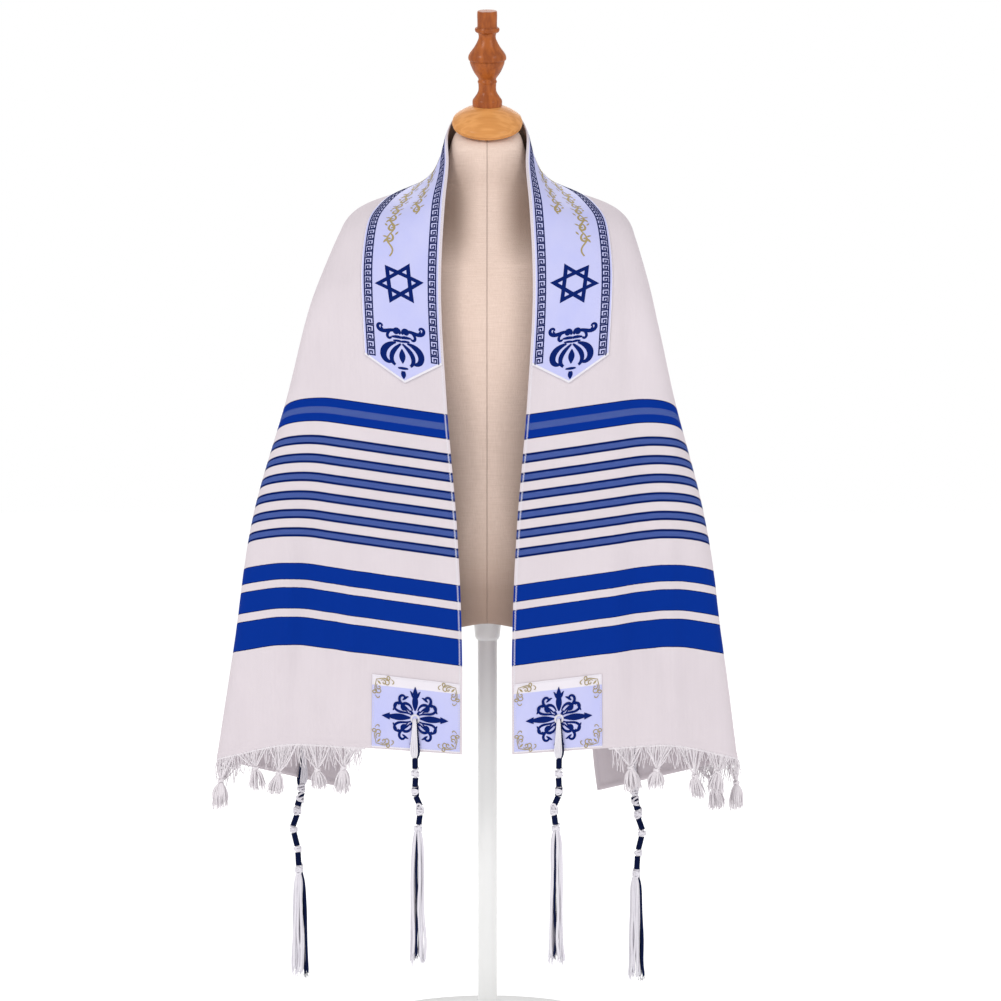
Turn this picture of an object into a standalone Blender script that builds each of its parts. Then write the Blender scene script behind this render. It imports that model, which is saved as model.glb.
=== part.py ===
"""Tallit prayer shawl on a limbless dress form, with its turned neck cap and pole stand.

Units are metres and +Z is up. The shawl's front faces -Y, so a viewer in front sees +X on
the right. The origin is on the floor under the middle of the stand's base.

The cloth is described in its own flat measures: "across" runs from the edge that lies round
the neck (0) to the outer edge (0.50), and "along" runs from the middle of the back (0) to
the hem (0.90), negative on the viewer's left and positive on the viewer's right.
"""

import bmesh
import bpy
import numpy as np
from math import cos, pi, radians, sin, tan
from mathutils import Matrix, Vector

# Shawl
CLOTH_WIDTH = 0.50
HALF_LENGTH = 0.90
CLOTH_THICK = 0.0016
SEAM_GAP = 0.0004
FOLD_ROUNDING = 0.07
RIGHT_PANEL_SHARE = 0.92
NARROWING_START = 0.15
CLOTH_SKIN = CLOTH_THICK / 2

# Neckband, a satin strip along the neck edge with a point at each end
BAND_EDGE = 0.003
BAND_WIDTH = 0.100
BAND_SIDE_END = 0.4030
BAND_TIP_END = 0.4350
BAND_THICK = 0.0010
BAND_POINT_ROOT = 0.0025
BAND_POINT_GAP = 0.0005

# Corner patches with their eyelets
PATCH_EDGE = 0.003
PATCH_WIDTH = 0.111
PATCH_HEIGHT = 0.087
PATCH_HEM = 0.002
PATCH_THICK = 0.0010
EYELET_ACROSS = 0.0595
EYELET_ALONG = 0.860
EYELET_RADIUS = 0.0042
EYELET_CUT = 0.014

# Corner tassels
LOOP_RADIUS = 0.0020
LOOP_STANDOFF = 0.0052
LOOP_BACK_STANDOFF = 0.0042
LOOP_BEND = 0.0040
LOOP_CREST = 0.72
LOOP_FOOT = 0.0016
LOOP_SEAT = 0.0014
REAR_LOOP_SLANT = 0.010
HEAD_BELOW_HEM = 0.0085
CORD_RADIUS = 0.0037
KNOT_RADIUS = 0.0053
STRAND_COUNT = 8
STRAND_RADIUS = 0.0014
STRAND_SPREAD = 0.0068
STRAND_ROOT_RISE = 0.0025

# Fringe along each hem
FRINGE_START = 0.120
FRINGE_END = 0.370
STRIP_DROP = 0.0026
STRIP_THICK = 0.0014
FAN_STRANDS = 3
FAN_RADIUS = 0.0011
TAIL_LOCKS = 2
TAIL_RADIUS = 0.0020
TAIL_APART = 0.0042
FRINGE_KNOT_RADIUS = 0.0040

# Dress form and stand
FORM_SIDES = 32
ARCH_HALF_WIDTH = 0.022
CAP_TILT = 30.0
CAP_RADIUS = 0.0455
CAP_CENTRE = (0.0, -0.002, 1.1990)
CAP_DOME = 0.018
CAP_THICK = 0.0070
DOME_RINGS = 5
SEAT_DEPTH = 0.0030
SEAT_CUT = 0.020
FINIAL_TILT = 16.0
FINIAL_HEIGHT = 0.1220
FINIAL_SEAT_RADIUS = 0.0200
POLE_RADIUS = 0.0125
BASE_RADIUS = 0.190
BASE_EDGE = 0.012
BASE_HEIGHT = 0.018
HUB_RADIUS = 0.028
HUB_TOP = 0.050
FLANGE_RADIUS = 0.036
TURNED_SIDES = 24
REST_GAP = 0.0004

# Sections across the shawl, from the middle of the back to the hem. "out", "y" and "z" place
# the neck edge. The cloth leaves it in three stretches, joined at fold_1 and fold_2 (metres
# across). Each stretch has a bearing in degrees (0 is straight out sideways, 90 backwards, 180
# inwards) and a dip in degrees below level.
SECTION_COLUMNS = (
    "along", "out", "y", "z",
    "bearing_1", "bearing_2", "bearing_3", "dip_1", "dip_2", "dip_3", "fold_1", "fold_2",
)
SECTIONS = (
    (0.000, 0.0000, 0.062, 1.222, 90, 90, 90, 80, 50, 86, 0.055, 0.150),
    (0.040, 0.0360, 0.045, 1.212, 70, 72, 85, 78, 44, 86, 0.055, 0.150),
    (0.080, 0.0500, 0.000, 1.187, 35, 45, 75, 76, 20, 85, 0.054, 0.145),
    (0.130, 0.0495, -0.036, 1.142, 10, 12, 55, 50, 8, 82, 0.050, 0.143),
    (0.200, 0.0535, -0.082, 1.085, 8, 10, 80, 13, 6, 78, 0.066, 0.141),
    (0.300, 0.0575, -0.112, 0.990, 0, 12, 100, -4, 14, 68, 0.108, 0.167),
    (0.450, 0.0505, -0.125, 0.841, 0, 15, 105, -8, 12, 54, 0.160, 0.208),
    (0.620, 0.0370, -0.125, 0.672, 0, 10, 118, -8, 8, 38, 0.205, 0.267),
    (0.760, 0.0315, -0.122, 0.534, 0, 10, 142, -8, 10, 24, 0.222, 0.296),
    (0.900, 0.0315, -0.118, 0.394, 0, 10, 164, -4, 14, 15, 0.222, 0.326),
)

# Flutes that fan out from the shoulders: each is a soft swell (or hollow, height below zero)
# that starts at "start" across and is full "reach" further on. Side -1 is the viewer's left.
FLUTE_COLUMNS = ("side", "along", "half_width", "start", "reach", "height")
FLUTES = (
    (-1, 0.030, 0.020, 0.17, 0.22, 0.007),
    (-1, 0.072, 0.022, 0.16, 0.24, -0.008),
    (-1, 0.112, 0.022, 0.16, 0.26, 0.008),
    (-1, 0.205, 0.042, 0.16, 0.26, 0.020),
    (-1, 0.300, 0.042, 0.19, 0.26, -0.026),
    (-1, 0.398, 0.044, 0.23, 0.25, 0.030),
    (-1, 0.500, 0.046, 0.27, 0.24, -0.028),
    (-1, 0.612, 0.048, 0.30, 0.22, 0.024),
    (-1, 0.725, 0.050, 0.33, 0.20, -0.014),
    (1, 0.048, 0.022, 0.16, 0.24, -0.008),
    (1, 0.092, 0.024, 0.16, 0.26, 0.009),
    (1, 0.185, 0.040, 0.16, 0.26, 0.018),
    (1, 0.275, 0.042, 0.18, 0.26, -0.025),
    (1, 0.370, 0.042, 0.21, 0.26, 0.028),
    (1, 0.465, 0.044, 0.24, 0.25, -0.030),
    (1, 0.570, 0.048, 0.27, 0.23, 0.026),
    (1, 0.685, 0.050, 0.30, 0.20, -0.018),
)

# Creases that run down the fronts, from one place (along, across) to another.
CREASE_COLUMNS = ("side", "from_along", "to_along", "from_across", "to_across", "half_width", "height")
CREASES = (
    (-1, 0.30, 0.88, 0.150, 0.205, 0.014, -0.004),
    (-1, 0.50, 0.95, 0.205, 0.232, 0.010, 0.004),
    (1, 0.28, 0.82, 0.120, 0.165, 0.013, -0.004),
    (1, 0.45, 0.95, 0.185, 0.212, 0.010, 0.004),
)
CREASE_RISE = 0.12
CREASE_FALL = 0.10

# Rings of the dress form, from the middle of its underside outwards and then up to the neck.
# "arch" lifts the middle of the ring, and "tilt" leans it forwards in degrees.
FORM_COLUMNS = ("z", "half_width", "front", "back", "centre_y", "power", "arch", "tilt")
FORM_RINGS = (
    (0.5620, 0.045, 0.045, 0.045, 0.000, 2.0, 0.000, 0),
    (0.5590, 0.110, 0.072, 0.084, 0.000, 2.2, 0.000, 0),
    (0.5475, 0.144, 0.091, 0.104, 0.000, 2.3, 0.012, 0),
    (0.5520, 0.150, 0.095, 0.108, 0.000, 2.3, 0.010, 0),
    (0.6200, 0.158, 0.099, 0.112, 0.000, 2.3, 0.000, 0),
    (0.6900, 0.142, 0.092, 0.097, 0.000, 2.2, 0.000, 0),
    (0.7600, 0.118, 0.081, 0.079, 0.000, 2.2, 0.000, 0),
    (0.8300, 0.120, 0.088, 0.078, 0.000, 2.2, 0.000, 0),
    (0.9100, 0.132, 0.102, 0.086, 0.000, 2.2, 0.000, 0),
    (0.9800, 0.146, 0.094, 0.096, 0.000, 2.2, 0.000, 0),
    (1.0400, 0.1615, 0.074, 0.0972, 0.005, 2.2, 0.000, 0),
    (1.0758, 0.1550, 0.062, 0.0864, 0.010, 2.1, 0.000, 0),
    (1.0995, 0.1245, 0.048, 0.072, 0.012, 2.0, 0.000, 0),
    (1.1147, 0.0838, 0.041, 0.061, 0.008, 2.0, 0.000, 4),
    (1.1403, 0.0565, 0.042, 0.053, 0.003, 2.0, 0.000, 12),
    (1.1650, 0.047, 0.040, 0.046, -0.001, 2.0, 0.000, 22),
    (1.1900, 0.043, 0.041, 0.041, -0.002, 2.0, 0.000, 30),
)

# Turned profile of the finial, from its top: depth below the top and radius.
FINIAL_COLUMNS = ("depth", "radius")
FINIAL_PROFILE = (
    (0.0000, 0.0105),
    (0.0020, 0.0127),
    (0.0200, 0.0127),
    (0.0215, 0.0150),
    (0.0240, 0.0158),
    (0.0268, 0.0148),
    (0.0285, 0.0118),
    (0.0350, 0.0112),
    (0.0450, 0.0160),
    (0.0540, 0.0225),
    (0.0590, 0.0244),
    (0.0625, 0.0240),
    (0.0632, 0.0223),
    (0.0672, 0.0220),
    (0.0780, 0.0160),
    (0.0868, 0.0108),
    (0.0908, 0.0125),
    (0.0940, 0.0115),
    (0.1030, 0.0118),
    (0.1110, 0.0165),
    (0.1150, 0.0190),
    (0.1220, 0.0190),
)

# Windings and knots of a corner tassel, below the end of its loop: from, to, radius and how
# far the cord has swayed sideways by the end of the row.
TASSEL_COLUMNS = ("start", "end", "radius", "sway")
FRONT_TASSEL = (
    (0.0000, 0.0135, CORD_RADIUS, 0.0002),
    (0.0150, 0.0240, KNOT_RADIUS, 0.0006),
    (0.0255, 0.0365, CORD_RADIUS, 0.0000),
    (0.0380, 0.0480, 0.0044, 0.0010),
    (0.0490, 0.0605, CORD_RADIUS, 0.0062),
    (0.0620, 0.0715, KNOT_RADIUS, 0.0060),
    (0.0730, 0.0845, CORD_RADIUS, 0.0046),
    (0.0855, 0.0930, KNOT_RADIUS, 0.0034),
)
REAR_TASSEL = (
    (0.0000, 0.0090, KNOT_RADIUS, 0.0010),
    (0.0105, 0.0270, 0.0042, -0.0040),
    (0.0285, 0.0375, KNOT_RADIUS, -0.0050),
    (0.0390, 0.0530, CORD_RADIUS, -0.0100),
    (0.0545, 0.0610, KNOT_RADIUS, -0.0090),
    (0.0625, 0.0790, CORD_RADIUS, -0.0050),
    (0.0805, 0.0865, KNOT_RADIUS, -0.0040),
    (0.0880, 0.1045, CORD_RADIUS, -0.0030),
    (0.1060, 0.1150, KNOT_RADIUS, -0.0020),
)
KNOT_SWELL = ((0.0, 0.70), (0.5, 1.0), (1.0, 0.70))
CORD_SWELL = ((0.0, 1.0), (1.0, 1.0))

# Course of the hanging strands below the last knot: share of the drop, share of the full
# spread and share of the strand's thickness.
STRAND_COLUMNS = ("share", "width", "thickness")
STRAND_COURSE = (
    (0.00, 0.28, 1.0),
    (0.12, 0.65, 1.0),
    (0.58, 0.97, 1.0),
    (1.00, 1.10, 0.7),
)
FRONT_TASSEL_LENGTH = 0.259
REAR_TASSEL_LENGTH = 0.240

# Knotted bunches of the fringe: place across, width of the fan, drop to the knot, length of
# the tail and how far it leans along the hem.
BUNCH_COLUMNS = ("across", "fan", "drop", "tail", "lean")
BUNCHES = (
    (0.146, 0.034, 0.027, 0.034, 0.004),
    (0.186, 0.034, 0.032, 0.026, -0.003),
    (0.226, 0.032, 0.036, 0.028, 0.006),
    (0.268, 0.034, 0.024, 0.030, -0.005),
    (0.308, 0.030, 0.030, 0.036, 0.003),
    (0.347, 0.030, 0.028, 0.032, -0.004),
)

# Name, base colour, roughness and metallic value of each finish.
FINISHES = {
    "shawl_weave": ((0.80, 0.75, 0.78), 0.80, 0.0),
    "satin": ((0.62, 0.64, 0.86), 0.42, 0.0),
    "tassel_yarn": ((0.82, 0.80, 0.82), 0.85, 0.0),
    "form_linen": ((0.62, 0.54, 0.45), 0.88, 0.0),
    "cap_wood": ((0.62, 0.32, 0.11), 0.35, 0.0),
    "finial_wood": ((0.42, 0.16, 0.04), 0.32, 0.0),
    "stand_paint": ((0.85, 0.85, 0.84), 0.38, 0.0),
}

# Corners of the shawl: side (-1 is the viewer's left) and whether it is the back sheet's corner.
CORNERS = {
    "front_left": (-1.0, False),
    "front_right": (1.0, False),
    "rear_left": (-1.0, True),
    "rear_right": (1.0, True),
}

UP = np.array((0.0, 0.0, 1.0))
UP_VECTOR = Vector(UP)
ACROSS_STEPS = 200
ACROSS_GRID = np.linspace(0.0, CLOTH_WIDTH, ACROSS_STEPS + 1)
TOLERANCE = 0.0001


def clear_scene():
    """Remove every object that the file starts with."""
    for item in list(bpy.data.objects):
        bpy.data.objects.remove(item, do_unlink=True)


def make_collection(name):
    """Return a new collection linked to the scene."""
    collection = bpy.data.collections.new(name)
    bpy.context.scene.collection.children.link(collection)
    return collection


def make_material(name):
    """Return a Principled material for one of the finishes."""
    colour, roughness, metallic = FINISHES[name]
    material = bpy.data.materials.new(name)
    material.use_nodes = True
    shader = material.node_tree.nodes["Principled BSDF"]
    shader.inputs["Base Color"].default_value = (*colour, 1.0)
    shader.inputs["Roughness"].default_value = roughness
    shader.inputs["Metallic"].default_value = metallic
    return material


def add_object(name, mesh, collection, material=None, smooth_angle=None):
    """Wrap a mesh in a named object, with its material and shading."""
    item = bpy.data.objects.new(name, mesh)
    collection.objects.link(item)
    if material is not None:
        mesh.materials.append(material)
    if smooth_angle is not None:
        mesh.shade_smooth()
        mesh.set_sharp_from_angle(angle=radians(smooth_angle))
    return item


def smooth_step(value):
    """Rise softly from 0 to 1 as value goes from 0 to 1."""
    value = np.clip(value, 0.0, 1.0)
    return value * value * (3.0 - 2.0 * value)


def section_values(along):
    """Return every column of the section table at the given places along, by cubic curves."""
    rows = np.array(SECTIONS, float)
    stations = rows[:, 0]
    values = rows[:, 1:]
    slopes = np.gradient(values, stations, axis=0)
    slopes[0] = 0.0
    slopes[0, 0] = (values[1, 0] - values[0, 0]) / (stations[1] - stations[0])
    place = np.abs(along)
    index = np.clip(np.searchsorted(stations, place, side="right") - 1, 0, len(stations) - 2)
    span = (stations[index + 1] - stations[index])[:, None]
    t = (place[:, None] - stations[index][:, None]) / span
    start, end = values[index], values[index + 1]
    start_slope, end_slope = slopes[index] * span, slopes[index + 1] * span
    blend = (1 + 2 * t) * (1 - t) ** 2 * start + t * (1 - t) ** 2 * start_slope
    blend += t * t * (3 - 2 * t) * end + t * t * (t - 1) * end_slope
    return blend.T[:, :, None]


def plain_cloth(along):
    """Return points of the cloth without flutes: one row for each place along."""
    out, y, z, b1, b2, b3, d1, d2, d3, fold_1, fold_2 = section_values(along)
    narrowing = (1 - RIGHT_PANEL_SHARE) * smooth_step((np.abs(along)[:, None] - NARROWING_START) / 0.2)
    share = np.where(along[:, None] > 0, 1 - narrowing, 1.0)
    first = smooth_step((ACROSS_GRID[None] - fold_1 * share) / FOLD_ROUNDING + 0.5)
    second = smooth_step((ACROSS_GRID[None] - fold_2 * share) / FOLD_ROUNDING + 0.5)
    bearing = np.radians(b1 + (b2 - b1) * first + (b3 - b2) * second)
    dip = np.radians(d1 + (d2 - d1) * first + (d3 - d2) * second)
    level = np.cos(dip)
    direction = np.stack([level * np.cos(bearing), level * np.sin(bearing), -np.sin(dip)], -1)
    step = ACROSS_GRID[1] - ACROSS_GRID[0]
    moves = (direction[:, 1:] + direction[:, :-1]) / 2 * step
    start = np.concatenate([out, y, z], 1)[:, None, :]
    points = np.concatenate([start, start + np.cumsum(moves, axis=1)], 1)
    points[..., 0] *= np.where(along < 0, -1.0, 1.0)[:, None]
    return points


def cloth_normals(along, spread=0.004):
    """Return the outward directions of the plain cloth."""
    lengthwise = plain_cloth(along + spread) - plain_cloth(along - spread)
    crosswise = np.gradient(plain_cloth(along), ACROSS_GRID, axis=1)
    normals = np.cross(lengthwise, crosswise)
    return normals / np.linalg.norm(normals, axis=2, keepdims=True)


def cloth_relief(along):
    """Return how far flutes and creases lift each point of the cloth."""
    place = along[:, None]
    across = ACROSS_GRID[None]
    lift = np.zeros((len(along), len(ACROSS_GRID)))
    for side, at, half_width, start, reach, height in FLUTES:
        swell = np.exp(-(((place * side - at) / half_width) ** 2))
        lift += height * swell * smooth_step((across - start) / reach)
    for side, begin, end, across_1, across_2, half_width, height in CREASES:
        share = np.clip((place * side - begin) / (end - begin), 0.0, 1.0)
        fade = smooth_step((place * side - begin) / CREASE_RISE)
        fade = fade * smooth_step((end - place * side) / CREASE_FALL)
        middle = across_1 + (across_2 - across_1) * share
        lift += height * fade * np.exp(-(((across - middle) / half_width) ** 2))
    return lift


def cloth_grid(along, across, lift=0.0):
    """Return points of the cloth's middle surface, or at a height above it, as a grid."""
    along = np.asarray(along, float)
    normals = cloth_normals(along)
    points = plain_cloth(along) + normals * (cloth_relief(along) + lift)[..., None]
    rows = []
    for row in points:
        rows.append([np.interp(across, ACROSS_GRID, row[:, axis]) for axis in range(3)])
    return np.array(rows).transpose(0, 2, 1)


def cloth_frame(along, across):
    """Return a point of the cloth with its outward, hemward and crosswise directions."""
    step = 0.002
    side = 1.0 if along > 0 else -1.0
    here = cloth_grid([along], [across])[0, 0]
    toward = here - cloth_grid([along - side * 4 * step], [across])[0, 0]
    beside = cloth_grid([along], [across + step])[0, 0] - cloth_grid([along], [across - step])[0, 0]
    toward /= np.linalg.norm(toward)
    beside /= np.linalg.norm(beside)
    outward = np.cross(beside, toward) * -side
    outward /= np.linalg.norm(outward)
    return here, outward, toward, beside


def slab_mesh(name, inner, outer):
    """Return a closed wall between two grids of points, with matching triangles on both."""
    rows, columns = inner.shape[:2]
    count = rows * columns
    vertices = np.concatenate([inner.reshape(-1, 3), outer.reshape(-1, 3)])
    faces = []

    def corner(row, column, skin):
        return skin * count + row * columns + column

    def add_quad(a, b, c, d):
        faces.append((a, b, c))
        faces.append((a, c, d))

    for row in range(rows - 1):
        for column in range(columns - 1):
            for skin in (0, 1):
                add_quad(
                    corner(row, column, skin),
                    corner(row + 1, column, skin),
                    corner(row + 1, column + 1, skin),
                    corner(row, column + 1, skin),
                )
    for row in range(rows - 1):
        for column in (0, columns - 1):
            add_quad(
                corner(row, column, 0),
                corner(row + 1, column, 0),
                corner(row + 1, column, 1),
                corner(row, column, 1),
            )
    for column in range(columns - 1):
        for row in (0, rows - 1):
            add_quad(
                corner(row, column, 0),
                corner(row, column + 1, 0),
                corner(row, column + 1, 1),
                corner(row, column, 1),
            )
    return mesh_from_faces(name, vertices, faces)


def mesh_from_faces(name, vertices, faces):
    """Return a closed mesh whose faces all point outwards."""
    mesh = bpy.data.meshes.new(name)
    mesh.from_pydata([tuple(point) for point in vertices], [], faces)
    solid = bmesh.new()
    solid.from_mesh(mesh)
    bmesh.ops.recalc_face_normals(solid, faces=solid.faces)
    solid.to_mesh(mesh)
    solid.free()
    return mesh


def spread(start, end, count):
    """Return evenly spaced places from start up to, but not including, end."""
    return list(np.linspace(start, end, count, endpoint=False))


def half_stations():
    """Return the places along one half where the cloth's wall has a row of points."""
    patch_top = HALF_LENGTH - PATCH_HEM - PATCH_HEIGHT
    places = spread(0.0, BAND_SIDE_END, 15)
    places += spread(BAND_SIDE_END, BAND_TIP_END, 1)
    places += spread(BAND_TIP_END, patch_top, 12)
    places += spread(patch_top, HALF_LENGTH - PATCH_HEM, 3)
    places += [HALF_LENGTH - PATCH_HEM, HALF_LENGTH]
    return places


def both_halves(places):
    """Mirror places along one half to the other half."""
    return sorted({-place for place in places} | set(places))


WALL_ALONG = both_halves(half_stations())
WALL_ACROSS = [0.0] + spread(BAND_EDGE, 0.10, 4) + spread(0.10, CLOTH_WIDTH, 18) + [CLOTH_WIDTH]


def build_cloth(collection, material, cutters):
    """Build the shawl's wall, with an eyelet cut through each corner."""
    inner = cloth_grid(WALL_ALONG, WALL_ACROSS, -CLOTH_SKIN)
    outer = cloth_grid(WALL_ALONG, WALL_ACROSS, CLOTH_SKIN)
    cloth = add_object("shawl_cloth", slab_mesh("shawl_cloth", inner, outer), collection, material, 40)
    for cutter in cutters.values():
        cut_with(cloth, cutter)
    return cloth


def cut_with(item, cutter):
    """Cut one solid out of another."""
    modifier = item.modifiers.new("cut_" + cutter.name, "BOOLEAN")
    modifier.operation = "DIFFERENCE"
    modifier.solver = "EXACT"
    modifier.object = cutter


def build_neckband(collection, material):
    """Build the satin neckband on the outside of the cloth, with a point at each end."""
    columns = [place for place in WALL_ACROSS if BAND_EDGE <= place <= BAND_WIDTH + TOLERANCE]
    middle = (BAND_EDGE + BAND_WIDTH) / 2
    straight = [place for place in WALL_ALONG if abs(place) <= BAND_SIDE_END + TOLERANCE]
    point_length = BAND_TIP_END - BAND_SIDE_END - BAND_POINT_ROOT
    skins = []
    for lift in (CLOTH_SKIN + SEAM_GAP, CLOTH_SKIN + SEAM_GAP + BAND_THICK):
        grid = cloth_grid(straight, columns, lift)
        ends = []
        for side in (-1.0, 1.0):
            tip_row = []
            for place in columns:
                share = 1.0 - abs(place - middle) / (middle - BAND_EDGE)
                reach = BAND_POINT_ROOT + (point_length - BAND_POINT_GAP) * share
                tip_row.append(cloth_grid([side * (BAND_SIDE_END + reach)], [place], lift)[0, 0])
            ends.append(np.array(tip_row)[None])
        skins.append(np.concatenate([ends[0], grid, ends[1]]))
    mesh = slab_mesh("neckband", skins[0], skins[1])
    return add_object("neckband", mesh, collection, material, 40)


def corner_across(place, rear):
    """Measure a place from the near edge, or from the outer edge at a rear corner."""
    return CLOTH_WIDTH - place if rear else place


def build_eyelet_cutters(collection):
    """Build the round cutters that pierce cloth and patch at each corner."""
    cutters = {}
    for corner, (side, rear) in CORNERS.items():
        point, outward, _, _ = cloth_frame(side * EYELET_ALONG, corner_across(EYELET_ACROSS, rear))
        solid = bmesh.new()
        bmesh.ops.create_cone(
            solid, cap_ends=True, segments=8, radius1=EYELET_RADIUS, radius2=EYELET_RADIUS, depth=EYELET_CUT
        )
        mesh = bpy.data.meshes.new("eyelet_" + corner)
        solid.to_mesh(mesh)
        solid.free()
        cutter = add_object("eyelet_" + corner, mesh, collection)
        turn = UP_VECTOR.rotation_difference(Vector(outward))
        cutter.matrix_world = Matrix.Translation(Vector(point)) @ turn.to_matrix().to_4x4()
        cutter.hide_render = True
        cutter.display_type = "WIRE"
        cutters[corner] = cutter
    return cutters


def build_patches(collection, material, cutters):
    """Build the four satin corner patches from the cloth's own points, moved out."""
    top = HALF_LENGTH - PATCH_HEM - PATCH_HEIGHT
    rows = [place for place in WALL_ALONG if top - TOLERANCE <= place <= HALF_LENGTH - PATCH_HEM + TOLERANCE]
    for corner, (side, rear) in CORNERS.items():
        low = corner_across(PATCH_EDGE, rear)
        high = corner_across(PATCH_EDGE + PATCH_WIDTH, rear)
        low, high = min(low, high), max(low, high)
        columns = [low] + [place for place in WALL_ACROSS if low + 0.004 < place < high - 0.004] + [high]
        along = sorted(side * place for place in rows)
        base = CLOTH_SKIN + SEAM_GAP
        inner = cloth_grid(along, columns, base)
        outer = cloth_grid(along, columns, base + PATCH_THICK)
        mesh = slab_mesh("corner_patch_" + corner, inner, outer)
        patch = add_object("corner_patch_" + corner, mesh, collection, material, 40)
        cut_with(patch, cutters[corner])


def tube_object(name, points, radii, collection, resolution=0, cyclic=False):
    """Return a closed mesh tube along points, made from a bevelled curve."""
    curve = bpy.data.curves.new(name, "CURVE")
    curve.dimensions = "3D"
    curve.bevel_depth = 1.0
    curve.bevel_resolution = resolution
    curve.use_fill_caps = not cyclic
    spline = curve.splines.new("POLY")
    spline.points.add(len(points) - 1)
    spline.use_cyclic_u = cyclic
    for knot, point, radius in zip(spline.points, points, radii):
        knot.co = (*point, 1.0)
        knot.radius = radius
    guide = bpy.data.objects.new(name, curve)
    collection.objects.link(guide)
    bpy.context.view_layer.update()
    evaluated = guide.evaluated_get(bpy.context.evaluated_depsgraph_get())
    mesh = bpy.data.meshes.new_from_object(evaluated)
    solid = bmesh.new()
    solid.from_mesh(mesh)
    bmesh.ops.remove_doubles(solid, verts=solid.verts, dist=0.00001)
    bmesh.ops.recalc_face_normals(solid, faces=solid.faces)
    solid.to_mesh(mesh)
    solid.free()
    mesh.materials.clear()
    bpy.data.objects.remove(guide)
    bpy.data.curves.remove(curve)
    tube = bpy.data.objects.new(name, mesh)
    collection.objects.link(tube)
    tube.hide_render = True
    tube.display_type = "WIRE"
    return tube


def fuse(name, body, pieces, collection, material):
    """Join a body and its strands into one closed solid."""
    group = make_collection(name + "_strands")
    for piece in pieces:
        for owner in list(piece.users_collection):
            owner.objects.unlink(piece)
        group.objects.link(piece)
    item = add_object(name, body, collection, material)
    modifier = item.modifiers.new("fuse", "BOOLEAN")
    modifier.operation = "UNION"
    modifier.solver = "EXACT"
    modifier.operand_type = "COLLECTION"
    modifier.collection = group
    modifier.use_self = True
    return item


def tassel_loop(corner, side, rear):
    """Return the loop's path through the eyelet and round the hem, and where the cord starts."""
    across = corner_across(EYELET_ACROSS, rear)
    hem_across = across + (REAR_LOOP_SLANT if rear else 0.0)
    point, outward, toward, _ = cloth_frame(side * EYELET_ALONG, across)
    hem, hem_outward, hem_toward, _ = cloth_frame(side * HALF_LENGTH, hem_across)
    seat = point + toward * LOOP_SEAT
    head = hem + hem_toward * HEAD_BELOW_HEM
    middle = (point + hem) / 2
    front = outward * LOOP_STANDOFF
    back = outward * -LOOP_BACK_STANDOFF
    bend = toward * LOOP_BEND
    foot = head - UP * LOOP_RADIUS
    path = [
        seat + front * LOOP_CREST,
        seat + front + bend,
        middle + front,
        hem + hem_outward * LOOP_STANDOFF,
        foot + hem_outward * LOOP_FOOT,
        foot - hem_outward * LOOP_FOOT,
        hem - hem_outward * LOOP_BACK_STANDOFF,
        middle + back,
        seat + back + bend,
        seat + back * LOOP_CREST,
    ]
    return path, head


def build_tassel(corner, collection, scratch, material):
    """Build one corner tassel: loop, knotted and wound cord, and eight hanging strands."""
    side, rear = CORNERS[corner]
    name = "tzitzit_" + corner
    rows = REAR_TASSEL if rear else FRONT_TASSEL
    length = REAR_TASSEL_LENGTH if rear else FRONT_TASSEL_LENGTH
    loop_path, head = tassel_loop(corner, side, rear)
    sideways = np.array((-side, 0.0, 0.0))
    cord_points = []
    cord_radii = []
    previous_sway = 0.0
    for start, end, radius, sway in rows:
        for share, swell in KNOT_SWELL if radius == KNOT_RADIUS else CORD_SWELL:
            depth = start + (end - start) * share
            offset = previous_sway + (sway - previous_sway) * share
            cord_points.append(head - UP * depth + sideways * offset)
            cord_radii.append(radius * swell)
        previous_sway = sway
    cord = tube_object(name + "_cord", cord_points, cord_radii, scratch, resolution=1)
    loop = tube_object(
        name + "_loop", loop_path, [LOOP_RADIUS] * len(loop_path), scratch, resolution=1, cyclic=True
    )
    root = cord_points[-1]
    strands = [loop]
    drop = length - rows[-1][1]
    for index in range(STRAND_COUNT):
        angle = 2 * pi * (index + 0.5) / STRAND_COUNT
        spoke = np.array((cos(angle), 0.75 * sin(angle), 0.0)) * STRAND_SPREAD
        uneven = 1.0 - 0.0125 * ((index * 3) % 5)
        points = [root + UP * STRAND_ROOT_RISE + spoke * STRAND_COURSE[0][1]]
        radii = [STRAND_RADIUS]
        for share, width, thickness in STRAND_COURSE[1:]:
            points.append(root - UP * drop * share * uneven + spoke * width * (1 + 0.06 * (index % 3)))
            radii.append(STRAND_RADIUS * thickness)
        strands.append(tube_object(f"{name}_strand_{index + 1}", points, radii, scratch))
    body = cord.data
    bpy.data.objects.remove(cord)
    return fuse(name, body, strands, collection, material)


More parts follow.
